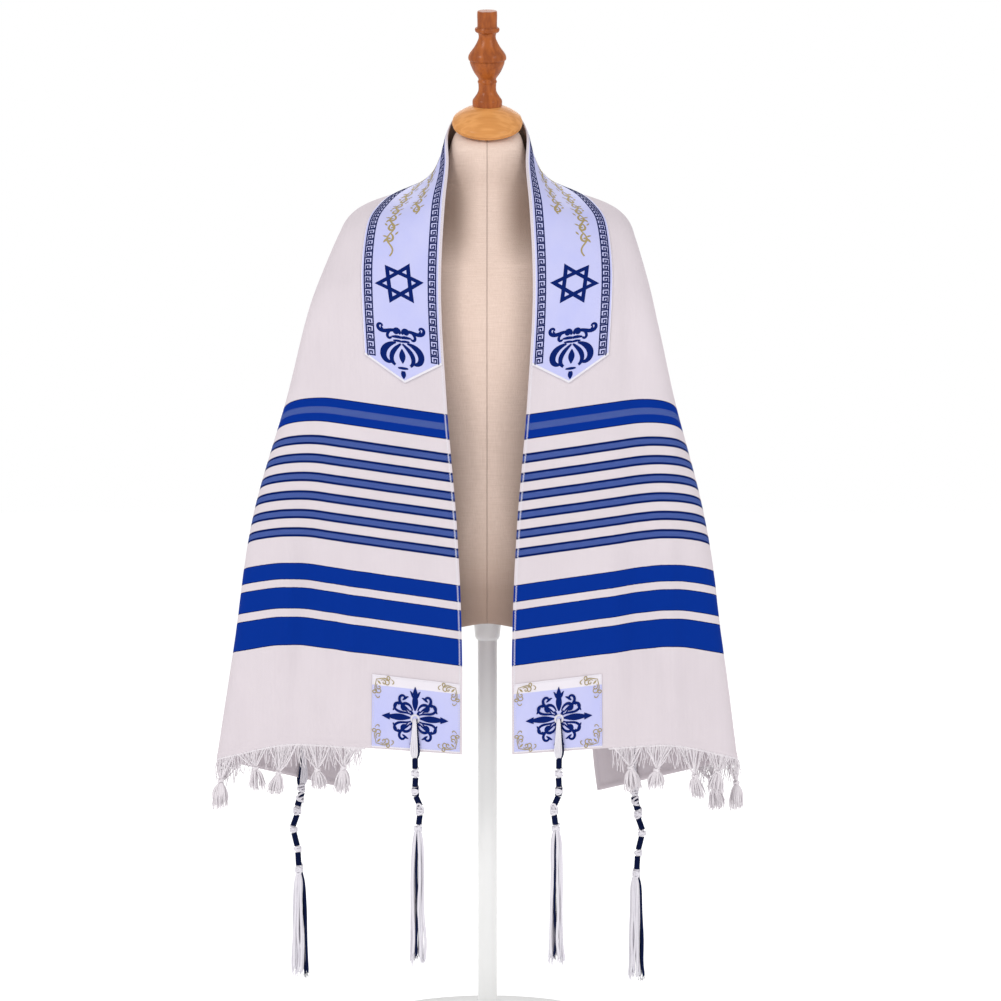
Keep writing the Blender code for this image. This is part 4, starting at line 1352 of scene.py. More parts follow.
def add_ribbon(
    pile: MeshPile,
    points: Array,
    widths: float | Array,
    height: float,
    crown: float = 0.00022,
    closed: bool = False,
) -> None:
    """Add a flat stroke of thread, crowned along its middle and closed underneath.

    Args:
        pile: Where the stroke goes.
        points: Flat points of its middle.
        widths: Its width at each point, or one for all.
        height: Height of its edges.
        crown: How far its middle stands above its edges.
        closed: Whether its ends meet.
    """
    points = np.asarray(points, float)
    widths = np.broadcast_to(widths, (len(points),))[:, None]
    if closed:
        before, after = points - np.roll(points, 1, axis=0), np.roll(points, -1, axis=0) - points
    else:
        steps = np.diff(points, axis=0)
        before, after = np.concatenate([steps[:1], steps]), np.concatenate([steps, steps[-1:]])
    before = before / np.linalg.norm(before, axis=1, keepdims=True)
    after = after / np.linalg.norm(after, axis=1, keepdims=True)
    normal = np.stack([-(before + after)[:, 1], (before + after)[:, 0]], 1)
    normal /= np.maximum(np.linalg.norm(normal, axis=1, keepdims=True), 1e-6)
    aside = np.stack([-before[:, 1], before[:, 0]], 1)
    lean = np.maximum(np.sum(normal * aside, axis=1, keepdims=True), MITRE_LIMIT)
    reach = normal * widths / 2 / lean
    flat = np.stack([points + reach, points, points - reach, points], 1)
    heights = np.broadcast_to(np.array([height, height + crown, height, height - crown / 2]), flat.shape[:2])
    ring = np.concatenate([flat, heights[..., None]], 2)
    rows = len(points)
    if closed:
        ring = np.concatenate([ring, ring[:1]])
        rows += 1
    faces = grid_faces(rows, 4, closed=True)
    faces += [(0, 1, 2, 3), tuple(range(rows * 4 - 1, rows * 4 - 5, -1))]
    pile.add(ring.reshape(-1, 3), faces)


class Scroll(NamedTuple):
    """One stroke of an ornament: where it starts, how it bends and how wide it is.

    Places and widths are millimetres, the heading is degrees (0 to the right, 90 up), and the
    bends are degrees for each millimetre at the stroke's start and end.
    """

    x: float
    y: float
    heading: float
    length: float
    bend_start: float
    bend_end: float
    width_start: float
    width_middle: float
    width_end: float


def scroll_points(scroll: Scroll) -> tuple[Array, Array]:
    """Return the course of one stroke.

    Args:
        scroll: The stroke.

    Returns:
        Its flat points and widths, in metres.
    """
    count = max(6, int(scroll.length / 1.1))
    share = np.linspace(0.0, 1.0, count)
    bend = scroll.bend_start + (scroll.bend_end - scroll.bend_start) * share**1.6
    step = scroll.length / (count - 1)
    swerve = np.concatenate([[0.0], np.cumsum((bend[1:] + bend[:-1]) / 2 * step)])
    heading = np.radians(scroll.heading + swerve)
    moves = np.stack([np.cos(heading), np.sin(heading)], 1)
    moves = (moves[1:] + moves[:-1]) / 2 * step
    points = np.concatenate([[[0.0, 0.0]], np.cumsum(moves, axis=0)]) + (scroll.x, scroll.y)
    swell = scroll.width_middle - (scroll.width_start + scroll.width_end) / 2
    taper = scroll.width_start + (scroll.width_end - scroll.width_start) * share
    return points / 1000, (taper + swell * np.sin(pi * share)) / 1000


def add_scrolls(
    pile: MeshPile, scrolls: Sequence[Scroll], place: tuple[float, float], mirrors: Sequence[tuple[int, int]]
) -> None:
    """Add an ornament's strokes at a flat place, with their mirror images.

    Args:
        pile: Where the strokes go.
        scrolls: The strokes.
        place: Flat place of the ornament's middle: across, and distance along.
        mirrors: Signs of x and y for each image.
    """
    for number, scroll in enumerate(scrolls):
        points, widths = scroll_points(scroll)
        for turn, (flip_x, flip_y) in enumerate(mirrors):
            flat = points * (flip_x, -flip_y) + place
            add_ribbon(pile, flat, widths, PRINT_LIFT * (1 + (number + turn) % 4 / 4))


# Ornament of the neckband's ends: a bud between two crescents, under a bar with two scrolls.
PALMETTE = (
    Scroll(0, 13.5, 14, 12.5, -3.0, 1.0, 3.2, 3.8, 1.8),
    Scroll(0, 8.6, 14, 10.5, -3.0, 1.0, 2.4, 3.0, 1.4),
    Scroll(1.4, 17.6, 62, 42, -7.6, 26.0, 2.0, 4.8, 2.2),
    Scroll(12.0, 21.4, -30, 17, -2.0, -34.0, 1.4, 3.6, 2.2),
    Scroll(1.4, 18.0, 108, 21, -11.0, -30.0, 1.8, 3.6, 2.4),
    Scroll(20.0, 19.0, 20, 9.0, 8.0, 8.0, 0.6, 3.0, 0.6),
    Scroll(1.0, 5.8, -40, 33, -0.4, -8.2, 2.2, 5.8, 3.4),
    Scroll(7.0, 7.0, -14, 41, -1.6, -9.6, 2.2, 8.2, 3.0),
    Scroll(0, -0.5, -90, 18, 0, 0, 1.0, 8.0, 1.0),
    Scroll(0, -24.5, 0, 6.5, 0, 0, 3.4, 3.0, 1.6),
    Scroll(0, -28.0, -90, 10.0, 0, 0, 4.4, 6.0, 0.5),
)

# Quarter of a patch's ornament: a pointed leaf along each axis, and scrolls between.
ROSETTE = (
    Scroll(5.5, 0, 0, 28.0, 0, 0, 1.6, 8.0, 3.4),
    Scroll(32.0, 0, 0, 10.0, 0, 0, 8.6, 4.8, 0.4),
    Scroll(4.4, 3.6, 30, 35.0, -4.0, 23.0, 1.4, 3.0, 2.4),
    Scroll(6.0, 7.0, 50, 33.0, -3.0, 23.0, 1.4, 3.4, 2.4),
    Scroll(3.4, 9.0, 76, 27.0, -4.0, -22.0, 1.4, 3.6, 2.4),
    Scroll(12.0, 12.0, 28, 17.0, 4.0, -32.0, 1.2, 3.0, 2.2),
    Scroll(28.0, 7.6, 128, 13.0, -5.0, 14.0, 1.2, 3.4, 0.8),
    Scroll(16.0, 21.0, 150, 9.0, -4.0, 14.0, 1.2, 3.0, 0.8),
    Scroll(9.0, 6.4, 44, 13.0, 0, 0, 0.8, 2.6, 0.6),
    Scroll(0, 9.0, 90, 20.0, 0, 0, 1.8, 7.6, 3.4),
    Scroll(0, 28.0, 90, 10.5, 0, 0, 7.6, 4.4, 0.4),
    Scroll(2.0, 24.0, 60, 10.0, 4.0, -12.0, 1.2, 2.8, 0.8),
    Scroll(2.2, 3.2, 60, 7.0, 0, 0, 1.0, 3.2, 1.0),
)

# Gold spray of a patch's upper right corner: an arm along the top, its mirror image down the
# side and a leaf between them.
SPRAY_ARM = (
    Scroll(-3.0, -3.4, 172, 27.0, -2.0, 30.0, 0.7, 1.2, 0.9),
    Scroll(-9.0, -4.4, 140, 15.0, 12.0, 44.0, 0.7, 1.2, 0.9),
    Scroll(-15.0, -3.0, 214, 15.0, -14.0, -44.0, 0.7, 1.2, 0.9),
    Scroll(-22.0, -2.0, 200, 9.0, 6.0, 50.0, 0.6, 1.1, 0.8),
)
SPRAY_SIDE = tuple(
    Scroll(arm.y, arm.x, 90 - arm.heading, arm.length, -arm.bend_start, -arm.bend_end, *arm[6:])
    for arm in SPRAY_ARM
)
PATCH_SPRAY = (
    *SPRAY_ARM,
    *SPRAY_SIDE,
    Scroll(-4.6, -4.6, 225, 6.0, 0.0, 0.0, 0.4, 2.2, 0.3),
)


@dataclass
class Shawl:
    """The striped cloth with its turned edges."""

    palette: Palette

    def build(self) -> bpy.types.Object:
        """Build the cloth as a thin shell, a little thicker where its edges are turned.

        Returns:
            The cloth.
        """
        inner = np.array((0.0, 0.0008, 0.0050, HEM_WIDTH))
        across = np.linspace(0.010, CLOTH_WIDTH - 0.010, 104)
        across = np.concatenate([inner, across, CLOTH_WIDTH - inner[::-1]])
        along = np.linspace(-HALF_LENGTH, HALF_LENGTH, 331)[2:-2]
        along = np.concatenate([inner - HALF_LENGTH, along, HALF_LENGTH - inner[::-1]])
        rows, columns = np.meshgrid(along, across, indexing="ij")
        edge = np.minimum(np.minimum(columns, CLOTH_WIDTH - columns), HALF_LENGTH - np.abs(rows))
        half = np.where(edge < HEM_WIDTH - 0.0001, HEM_HALF, SHELL_HALF)
        half = np.where(edge < 0.0004, HEM_HALF * 0.55, half)
        mesh = slab("shawl", rows, columns, -half, half)
        return place_piece("shawl", mesh, self.palette.weave, ["shawl_cloth"], 50)


@dataclass
class StitchRow:
    """A row of small stitches along a flat line."""

    name: str
    line: Array
    pitch: float
    swing: float
    length: float
    width: float
    lift: float
    side: int
    corner: Corner | None = None

    def build(self, repeater: Repeater, finish: bpy.types.Material) -> bpy.types.Mesh:
        """Return the stitches, carried onto the cloth.

        Args:
            repeater: What repeats them.
            finish: Their thread.

        Returns:
            The mesh.
        """
        pile = MeshPile()
        points = np.stack([np.linspace(-self.length / 2, self.length / 2, 4), np.zeros(4)], 1)
        add_ribbon(pile, points, self.width * np.array((0.5, 1.0, 1.0, 0.5)), 0.0, 0.00025)
        flat = np.concatenate([self.line, np.zeros((len(self.line), 1))], 1)
        mesh = repeater.run(self.name, pile.mesh(self.name), flat, self.pitch, self.swing, finish)
        return drape(mesh, self.lift, self.side, self.corner)


def join(meshes: Sequence[bpy.types.Mesh], name: str) -> bpy.types.Mesh:
    """Join meshes into one.

    Args:
        meshes: The meshes.
        name: Name of the result.

    Returns:
        The joined mesh.
    """
    whole = bmesh.new()
    for mesh in meshes:
        whole.from_mesh(mesh)
    joined = bpy.data.meshes.new(name)
    whole.to_mesh(joined)
    whole.free()
    return joined


@dataclass
class EdgeStitching:
    """Zigzag stitches that hold the turned edges, which show on the blue stripes."""

    palette: Palette
    repeater: Repeater

    def build(self) -> list[bpy.types.Object]:
        """Build one row for each edge of each half.

        Returns:
            The rows.
        """
        rows = []
        for side, half in ((-1, "left"), (1, "right")):
            meshes = []
            for across in (EDGE_SEAM, CLOTH_WIDTH - EDGE_SEAM):
                line = np.stack([np.full(260, across), np.linspace(0.10, HALF_LENGTH - 0.003, 260)], 1)
                row = StitchRow(
                    f"edge_{half}", line, pitch=0.0017, swing=radians(52), length=0.0032,
                    width=0.0007, lift=HEM_HALF, side=side,
                )
                meshes.append(row.build(self.repeater, self.palette.white_yarn))
            mesh = join(meshes, f"edge_stitches_{half}")
            rows.append(place_piece(mesh.name, mesh, self.palette.white_yarn))
        return rows


def edged_places(start: float, end: float, count: int) -> Array:
    """Return places from one turned edge of a satin piece to the other."""
    middle = np.linspace(start + 4 * TURNED_EDGE, end - 4 * TURNED_EDGE, count)
    return np.concatenate([[start, start + TURNED_EDGE], middle, [end - TURNED_EDGE, end]])


# One key of the border: its turns, as shares of its pitch and height.
KEY_TURNS = (
    (0.0, 0.0), (0.0, 1.0), (0.80, 1.0), (0.80, 0.27), (0.34, 0.27), (0.34, 0.63), (0.56, 0.63),
)


@dataclass
class Neckband:
    """The satin neckband with its key borders, stars, palmettes and gold vine."""

    palette: Palette
    repeater: Repeater
    border: float = 0.0108
    pitch: float = 0.0097
    line: float = 0.0017
    star_along: float = 0.3080
    star_radius: float = 0.0312
    star_width: float = 0.0050
    vine_pitch: float = 0.0185
    palmette_along: float = 0.3930
    middle: float = 0.0525

    def end(self, across: Array) -> Array:
        """Return where the band ends, at places across.

        Args:
            across: Places across.

        Returns:
            Places along.
        """
        middle = (BAND_EDGE + BAND_WIDTH) / 2
        share = 1.0 - np.abs(across - middle) / (middle - BAND_EDGE)
        return BAND_SIDE_END + 0.0025 + (BAND_TIP_END - BAND_SIDE_END - 0.0030) * share

    def build(self) -> list[bpy.types.Object]:
        """Build the satin and what is woven and printed on it.

        Returns:
            The pieces.
        """
        across = edged_places(BAND_EDGE, BAND_WIDTH, 28)
        share = np.linspace(-1.0, 1.0, 301)[:, None]
        columns = np.broadcast_to(across, (len(share), len(across)))
        rows = share * self.end(columns)
        edge = np.minimum(columns - BAND_EDGE, BAND_WIDTH - columns) / TURNED_EDGE
        top = BAND_LIFT + BAND_THICK * (0.55 + 0.45 * smooth_step(edge))
        mesh = slab("neckband_satin", rows, columns, np.full_like(rows, BAND_LIFT - TRIM_SINK), top)
        pieces = [place_piece("neckband_satin", mesh, self.palette.band, ["neckband"], 50)]
        # Dark sheet under the collar at the nape: painted shade.
        along, across = np.linspace(-COLLAR_SHADE_REACH, COLLAR_SHADE_REACH, 71), np.linspace(*COLLAR_SHADE_WIDTH, 12)
        rows, columns = np.meshgrid(along, across, indexing="ij")
        low, high = (np.full_like(rows, lift) for lift in COLLAR_SHADE_LIFT)
        mesh = slab("neck_lining", rows, columns, low, high)
        pieces.append(place_piece("neck_lining", mesh, self.palette.lining))
        top = BAND_LIFT + BAND_THICK + PRINT_LIFT
        for side, half in ((-1, "left"), (1, "right")):
            for name, mesh, finish in (
                ("key_border", self.keys(half), self.palette.navy),
                ("star_and_palmette", self.prints(), self.palette.royal),
                ("gold_vine", self.vine(), self.palette.gold),
                ("band_piping", self.piping(), self.palette.white_yarn),
            ):
                carried = drape(mesh, top, side)
                pieces.append(place_piece(f"{name}_{half}", carried, finish))
        return pieces

    def keys(self, half: str) -> bpy.types.Mesh:
        """Return both key borders of one half, flat.

        Args:
            half: Name of the half.

        Returns:
            The mesh.
        """
        meshes = []
        for inward, start in ((1.0, BAND_EDGE + 0.0030), (-1.0, BAND_WIDTH - 0.0030)):
            pile = MeshPile()
            tall, long = self.border - self.line, self.pitch
            path = np.array([(x * long, -inward * (y * tall + self.line / 2)) for x, y in KEY_TURNS])
            for number, (here, after) in enumerate(zip(path, path[1:])):
                reach = (after - here) / np.linalg.norm(after - here) * self.line / 2
                points = resample(np.array([here - reach, after + reach]), 0.0024)
                add_ribbon(pile, points, self.line, PRINT_LIFT * (1 + number % 3 / 3))
            base = np.array([(-self.line / 2, -inward * self.line / 2), (long, -inward * self.line / 2)])
            add_ribbon(pile, resample(base, 0.0024), self.line, PRINT_LIFT)
            last = float(self.end(np.array(start + inward * self.border / 2))) - 0.004
            count = int(last // self.pitch)
            line = np.stack([np.full(count + 1, start), np.linspace(0.0, count * self.pitch, count + 1)], 1)
            line = np.concatenate([line, np.zeros((len(line), 1))], 1)
            unit, navy = pile.mesh("key"), self.palette.navy
            meshes.append(self.repeater.run(f"keys_{half}", unit, line, self.pitch, 0.0, navy))
        return join(meshes, f"key_border_{half}")

    def prints(self) -> bpy.types.Mesh:
        """Return the star and the palmette of one half, flat."""
        pile = MeshPile()
        width = self.star_width
        for turn, height in ((0.0, PRINT_LIFT), (pi, PRINT_LIFT * 1.6)):
            angles = radians(-6) + turn + np.array((0.0, 2 * pi / 3, 4 * pi / 3, 2 * pi))
            radius = self.star_radius - width
            corners = np.stack([np.cos(angles), -np.sin(angles)], 1) * radius
            corners += (self.middle, self.star_along)
            outline = []
            for here, after in zip(corners, corners[1:]):
                step = (after - here) / np.linalg.norm(after - here) * width * 0.9
                outline += [here, *resample(np.array([here + step, after - step]), 0.0022)]
            add_ribbon(pile, np.array(outline), width, height, closed=True)
        add_scrolls(pile, PALMETTE, (self.middle, self.palmette_along), ((1, 1), (-1, 1)))
        return pile.mesh("star_and_palmette")

    def vine(self) -> bpy.types.Mesh:
        """Return the gold vine of one half, flat: two waving stems with curls and leaves."""
        pile = MeshPile()
        pitch = self.vine_pitch
        for across, first, last in ((0.037, 0.020, 0.205), (0.066, 0.012, 0.270)):
            along = np.arange(first, last, 0.0012)
            wave = 0.0040 * np.sin((along - first) * pi / pitch)
            add_ribbon(pile, np.stack([across + wave, along], 1), 0.0021, PRINT_LIFT)
            for number in range(int((last - first) / pitch)):
                way = -1 if number % 2 else 1
                spray = (
                    Scroll(0, 8.4, -90 - 42 * way, 26.0, 3.0 * way, 33.0 * way, 1.6, 3.0, 2.4),
                    Scroll(4.0 * way, 1.0, -60 + 60 * (1 - way), 8.0, 0, 5.0 * way, 0.4, 3.2, 0.4),
                    Scroll(4.0 * way, 3.0, 30 + 60 * (1 - way), 6.5, 0, -5.0 * way, 0.4, 2.6, 0.4),
                    Scroll(-6.0 * way, 5.6, 90 + 35 * way, 6.0, 0, 0, 0.4, 2.6, 0.4),
                )
                add_scrolls(pile, spray, (across, first + (number + 0.5) * pitch), ((1, 1),))
        return pile.mesh("gold_vine")

    def piping(self) -> bpy.types.Mesh:
        """Return the white fold along the pointed end of one half, flat."""
        pile = MeshPile()
        across = np.linspace(BAND_EDGE, BAND_WIDTH, 71)
        points = np.stack([across, self.end(across) - 0.0004], 1)
        add_ribbon(pile, points, 0.0026, 0.0, 0.0002)
        return pile.mesh("band_piping")


@dataclass
class CornerPatch:
    """A satin patch on one corner, with its rosette, gold sprays, stitches and eyelet."""

    palette: Palette
    repeater: Repeater
    corner: Corner

    def build(self) -> list[bpy.types.Object]:
        """Build the patch and what is sewn on it.

        Returns:
            The pieces.
        """
        corner = self.corner
        low = HALF_LENGTH - PATCH_HEM - PATCH_HEIGHT
        near, down = edged_places(0.0, PATCH_WIDTH, 34), edged_places(0.0, PATCH_HEIGHT, 28)
        rows, columns = np.meshgrid(low + down, PATCH_EDGE + near, indexing="ij")
        inside = np.minimum(columns - PATCH_EDGE, PATCH_EDGE + PATCH_WIDTH - columns)
        inside = np.minimum(inside, np.minimum(rows - low, low + PATCH_HEIGHT - rows)) / TURNED_EDGE
        ripple = 0.00035 * np.sin(columns * 170 + 1.3) * np.sin(rows * 95) * smooth_step(inside / 8)
        top = BAND_LIFT + BAND_THICK * (0.5 + 0.5 * smooth_step(inside)) + ripple
        along, across = rows * corner.side, corner.across(columns)
        mesh = slab(f"patch_{corner.node}", along, across, np.full_like(rows, BAND_LIFT - TRIM_SINK), top)
        node = f"corner_patch_{corner.node}"
        pieces = [place_piece(mesh.name, mesh, self.palette.patch, [node], 50)]
        lift = BAND_LIFT + BAND_THICK + 0.0003
        for name, mesh, finish in (
            ("rosette", self.rosette(), self.palette.royal),
            ("sprays", self.sprays(), self.palette.gold),
            ("eyelet", self.eyelet(), self.palette.white_yarn),
        ):
            carried = drape(mesh, lift, corner.side, corner)
            pieces.append(place_piece(f"{name}_{corner.node}", carried, finish))
        seam = 0.0018
        right, foot = PATCH_WIDTH - seam, PATCH_HEIGHT - seam
        edge = np.array([(seam, seam), (right, seam), (right, foot), (seam, foot), (seam, seam)])
        row = StitchRow(
            f"patch_stitches_{corner.node}", edge + (PATCH_EDGE, low), pitch=0.0030, swing=0.0,
            length=0.0020, width=0.0005, lift=lift - TRIM_SINK, side=corner.side, corner=corner,
        )
        mesh = row.build(self.repeater, self.palette.white_yarn)
        pieces.append(place_piece(row.name, mesh, self.palette.white_yarn))
        return pieces

    def rosette(self) -> bpy.types.Mesh:
        """Return the blue rosette, flat."""
        pile = MeshPile()
        middle = (EYELET_ACROSS, EYELET_ALONG - 0.001)
        add_scrolls(pile, ROSETTE, middle, ((1, 1), (-1, 1), (1, -1), (-1, -1)))
        return pile.mesh("rosette")

    def sprays(self) -> bpy.types.Mesh:
        """Return the gold sprays of the four corners, flat."""
        pile = MeshPile()
        low = HALF_LENGTH - PATCH_HEM - PATCH_HEIGHT
        for right in (-1, 1):
            for up in (-1, 1):
                place = (
                    PATCH_EDGE + PATCH_WIDTH / 2 + right * (PATCH_WIDTH / 2 - 0.002),
                    low + PATCH_HEIGHT / 2 - up * (PATCH_HEIGHT / 2 - 0.002),
                )
                add_scrolls(pile, PATCH_SPRAY, place, ((right, up),))
        return pile.mesh("sprays")

    def eyelet(self) -> bpy.types.Mesh:
        """Return the stitched ring of the eyelet, flat."""
        pile = MeshPile()
        for number in range(26):
            angle = 2 * pi * number / 26
            way = np.array((cos(angle), sin(angle)))
            points = np.array([way * 0.0036, way * 0.0048, way * 0.0060]) + (EYELET_ACROSS, EYELET_ALONG)
            add_ribbon(pile, points, (0.0008, 0.0012, 0.0011), 0.0002, 0.0004)
        return pile.mesh("eyelet")


@dataclass
class CornerTassel:
    """One corner tassel: loop, wound and knotted cord, and hanging strands."""

    palette: Palette
    corner: Corner
    loop_yarn: float = 0.00130
    wound_yarn: float = 0.00074
    knot_reach: float = 0.0041
    strands_hung: int = 12
    strand_yarn: float = 0.0018

    def build(self) -> bpy.types.Object:
        """Build the tassel in white and navy yarn.

        Returns:
            The tassel.
        """
        corner = self.corner
        white, navy = MeshPile(), MeshPile()
        rows = REAR_TASSEL if corner.rear else FRONT_TASSEL
        length = REAR_TASSEL_LENGTH if corner.rear else FRONT_TASSEL_LENGTH
        across = corner.across(EYELET_ACROSS)
        seat = FORM.frame(corner.side * EYELET_ALONG, across)
        hem = FORM.frame(corner.side * HALF_LENGTH, across + (REAR_LOOP_SLANT if corner.rear else 0.0))
        head = hem[0] + hem[2] * HEAD_BELOW_HEM
        self.loop(seat, hem, head, white, navy)
        sideways = np.array((-corner.side, 0.0, 0.0))
        places = [head]
        sway = 0.0
        for number, wind in enumerate(rows):
            top = head - UP * wind.start + sideways * sway
            foot = head - UP * wind.end + sideways * wind.sway
            if wind.radius == KNOT_RADIUS:
                self.knot(white, (top + foot) / 2, wind.end - wind.start, number)
            else:
                self.winding(navy, top, foot, wind.radius)
                if wind.radius > CORD_RADIUS:
                    self.knot(white, top * 0.6 + foot * 0.4, (wind.end - wind.start) * 0.7, number + 5)
            places += [top, foot]
            sway = wind.sway
        add_tube(white, resample(np.array(places), 0.0012), 0.0026, 10, 3, 0.009)
        extra = REAR_STRAND_EXTRA if corner.rear else FRONT_STRAND_EXTRA
        self.strands(places[-1], length - rows[-1].end + extra, white, navy)
        count = len(white.faces)
        whole = MeshPile()
        whole.add(np.concatenate(white.vertices), white.faces)
        whole.add(np.concatenate(navy.vertices), navy.faces)
        mesh = whole.mesh(f"tassel_{corner.node}")
        turn_outward(mesh)
        shades = np.zeros(len(mesh.polygons), int)
        shades[count:] = 1
        yarns = (self.palette.white_yarn, self.palette.navy_yarn)
        piece = place_piece(mesh.name, mesh, yarns, [f"tzitzit_{corner.node}"])
        mesh.polygons.foreach_set("material_index", shades)
        return piece

    def loop(self, seat: tuple, hem: tuple, head: Array, white: MeshPile, navy: MeshPile) -> None:
        """Add the strands that run through the eyelet and round the hem.

        Args:
            seat: The cloth's frame at the eyelet.
            hem: The cloth's frame at the hem.
            head: Where the cord starts.
            white: White yarn.
            navy: Navy yarn.
        """
        point, outward, toward, beside = seat
        hem_point, hem_outward, _, hem_beside = hem
        for front in (1.0, -0.8):
            for number in range(5):
                share = number - 2.0
                splay = share * 0.0017
                stand = LOOP_STANDOFF * front * (1.0 - 0.09 * abs(share))
                course = (
                    point + outward * 0.0004 * front + beside * splay * 0.3,
                    point + outward * stand * 0.85 + toward * 0.003 + beside * splay * 0.5,
                    (point + hem_point) / 2 + outward * stand + beside * splay,
                    hem_point + hem_outward * stand * 0.95 + hem_beside * splay * 1.5,
                    head + hem_outward * 0.0016 * front + hem_beside * splay * 0.8,
                    head - UP * 0.003 + hem_beside * splay * 0.5,
                )
                pile = navy if number == (0 if self.corner.side < 0 else 4) else white
                add_tube(pile, smooth_path(np.array(course), 0.0010), self.loop_yarn, 8, 2, 0.006)

    def winding(self, pile: MeshPile, top: Array, foot: Array, radius: float) -> None:
        """Add one stretch of cord wound with yarn.

        Args:
            pile: Where it goes.
            top: Its upper end.
            foot: Its lower end.
            radius: Its radius.
        """
        length = float(np.linalg.norm(foot - top))
        turns = max(4, round(length / 0.0012))
        axis = (foot - top) / length
        first = np.cross(axis, (0.0, 1.0, 0.0))
        first /= np.linalg.norm(first)
        second = np.cross(axis, first)
        angle = np.linspace(0.0, 2 * pi * turns, turns * 16)
        rise = angle / (2 * pi * turns) * length
        spoke = np.cos(angle)[:, None] * first + np.sin(angle)[:, None] * second
        course = top + rise[:, None] * axis + (radius - 0.0006) * spoke
        add_tube(pile, course, self.wound_yarn, 6)
        add_tube(pile, np.array([top, (top + foot) / 2, foot]), radius - 0.0008, 12)

    def knot(self, pile: MeshPile, centre: Array, height: float, seed: int) -> None:
        """Add a tight knot of crossing yarn.

        Args:
            pile: Where it goes.
            centre: Its middle.
            height: Its height.
            seed: Turns the knot, so that no two look alike.
        """
        angle = np.linspace(0.0, 2 * pi, 30)
        for number in range(4):
            lean = radians((-38, 30, -14, 44)[number] + 9 * (seed % 3))
            spin = 1.1 * seed + number * 1.7
            x, y = self.knot_reach * np.array((np.cos(angle), np.sin(angle)))
            z = x * tan(lean) * height / 0.0105 + (number - 1.5) * height * 0.13
            ring = np.stack([x * cos(spin) - y * sin(spin), x * sin(spin) + y * cos(spin), z], 1)
            add_tube(pile, centre + ring, 0.00135, 8, 2, 0.006)

    def strands(self, root: Array, drop: float, white: MeshPile, navy: MeshPile) -> None:
        """Add the hanging strands, one or two of them navy, with frayed ends.

        Args:
            root: Where they leave the last knot.
            drop: How far they hang.
            white: White yarn.
            navy: Navy yarn.
        """
        rng = np.random.default_rng(11 + list(Corner).index(self.corner))
        dark = (0, 11) if self.corner.rear else (8,)
        for number in range(self.strands_hung):
            angle = 2 * pi * (number + 0.5) / self.strands_hung
            spoke = np.array((cos(angle), 0.7 * sin(angle), 0.0)) * (1.0 if number % 2 else 0.62)
            wave = rng.uniform(-1.0, 1.0, (4, 3)) * (0.0014, 0.0014, 0.0)
            reach = drop * (1.0 - 0.012 * ((number * 5) % 6)) - 0.004
            course = (
                root + UP * 0.003 + spoke * 0.0020,
                root - UP * reach * 0.10 + spoke * 0.0058,
                root - UP * reach * 0.35 + spoke * 0.0072 + wave[0],
                root - UP * reach * 0.62 + spoke * 0.0078 + wave[1],
                root - UP * reach * 0.85 + spoke * 0.0086 + wave[2],
                root - UP * reach + spoke * 0.0096 + wave[3],
            )
            pile = navy if number in dark else white
            path = smooth_path(np.array(course), 0.0012)
            thick = np.full(len(path), self.strand_yarn)
            thick[-4:] = (0.0017, 0.0015, 0.0012, 0.0007)
            add_tube(pile, path, thick, 8, 3, 0.0075)
            for _ in range(6):
                start = path[-5] + rng.uniform(-0.0005, 0.0005, 3)
                stray = rng.uniform(-1.0, 1.0, 3) * (0.0026, 0.0022, 0.0012)
                end = path[-1] + stray - UP * rng.uniform(0.001, 0.006)
                middle = (start + end) / 2 + (end - start)[::-1] * 0.05
                add_tube(pile, np.array([start, middle, end]), 0.00028, 3)


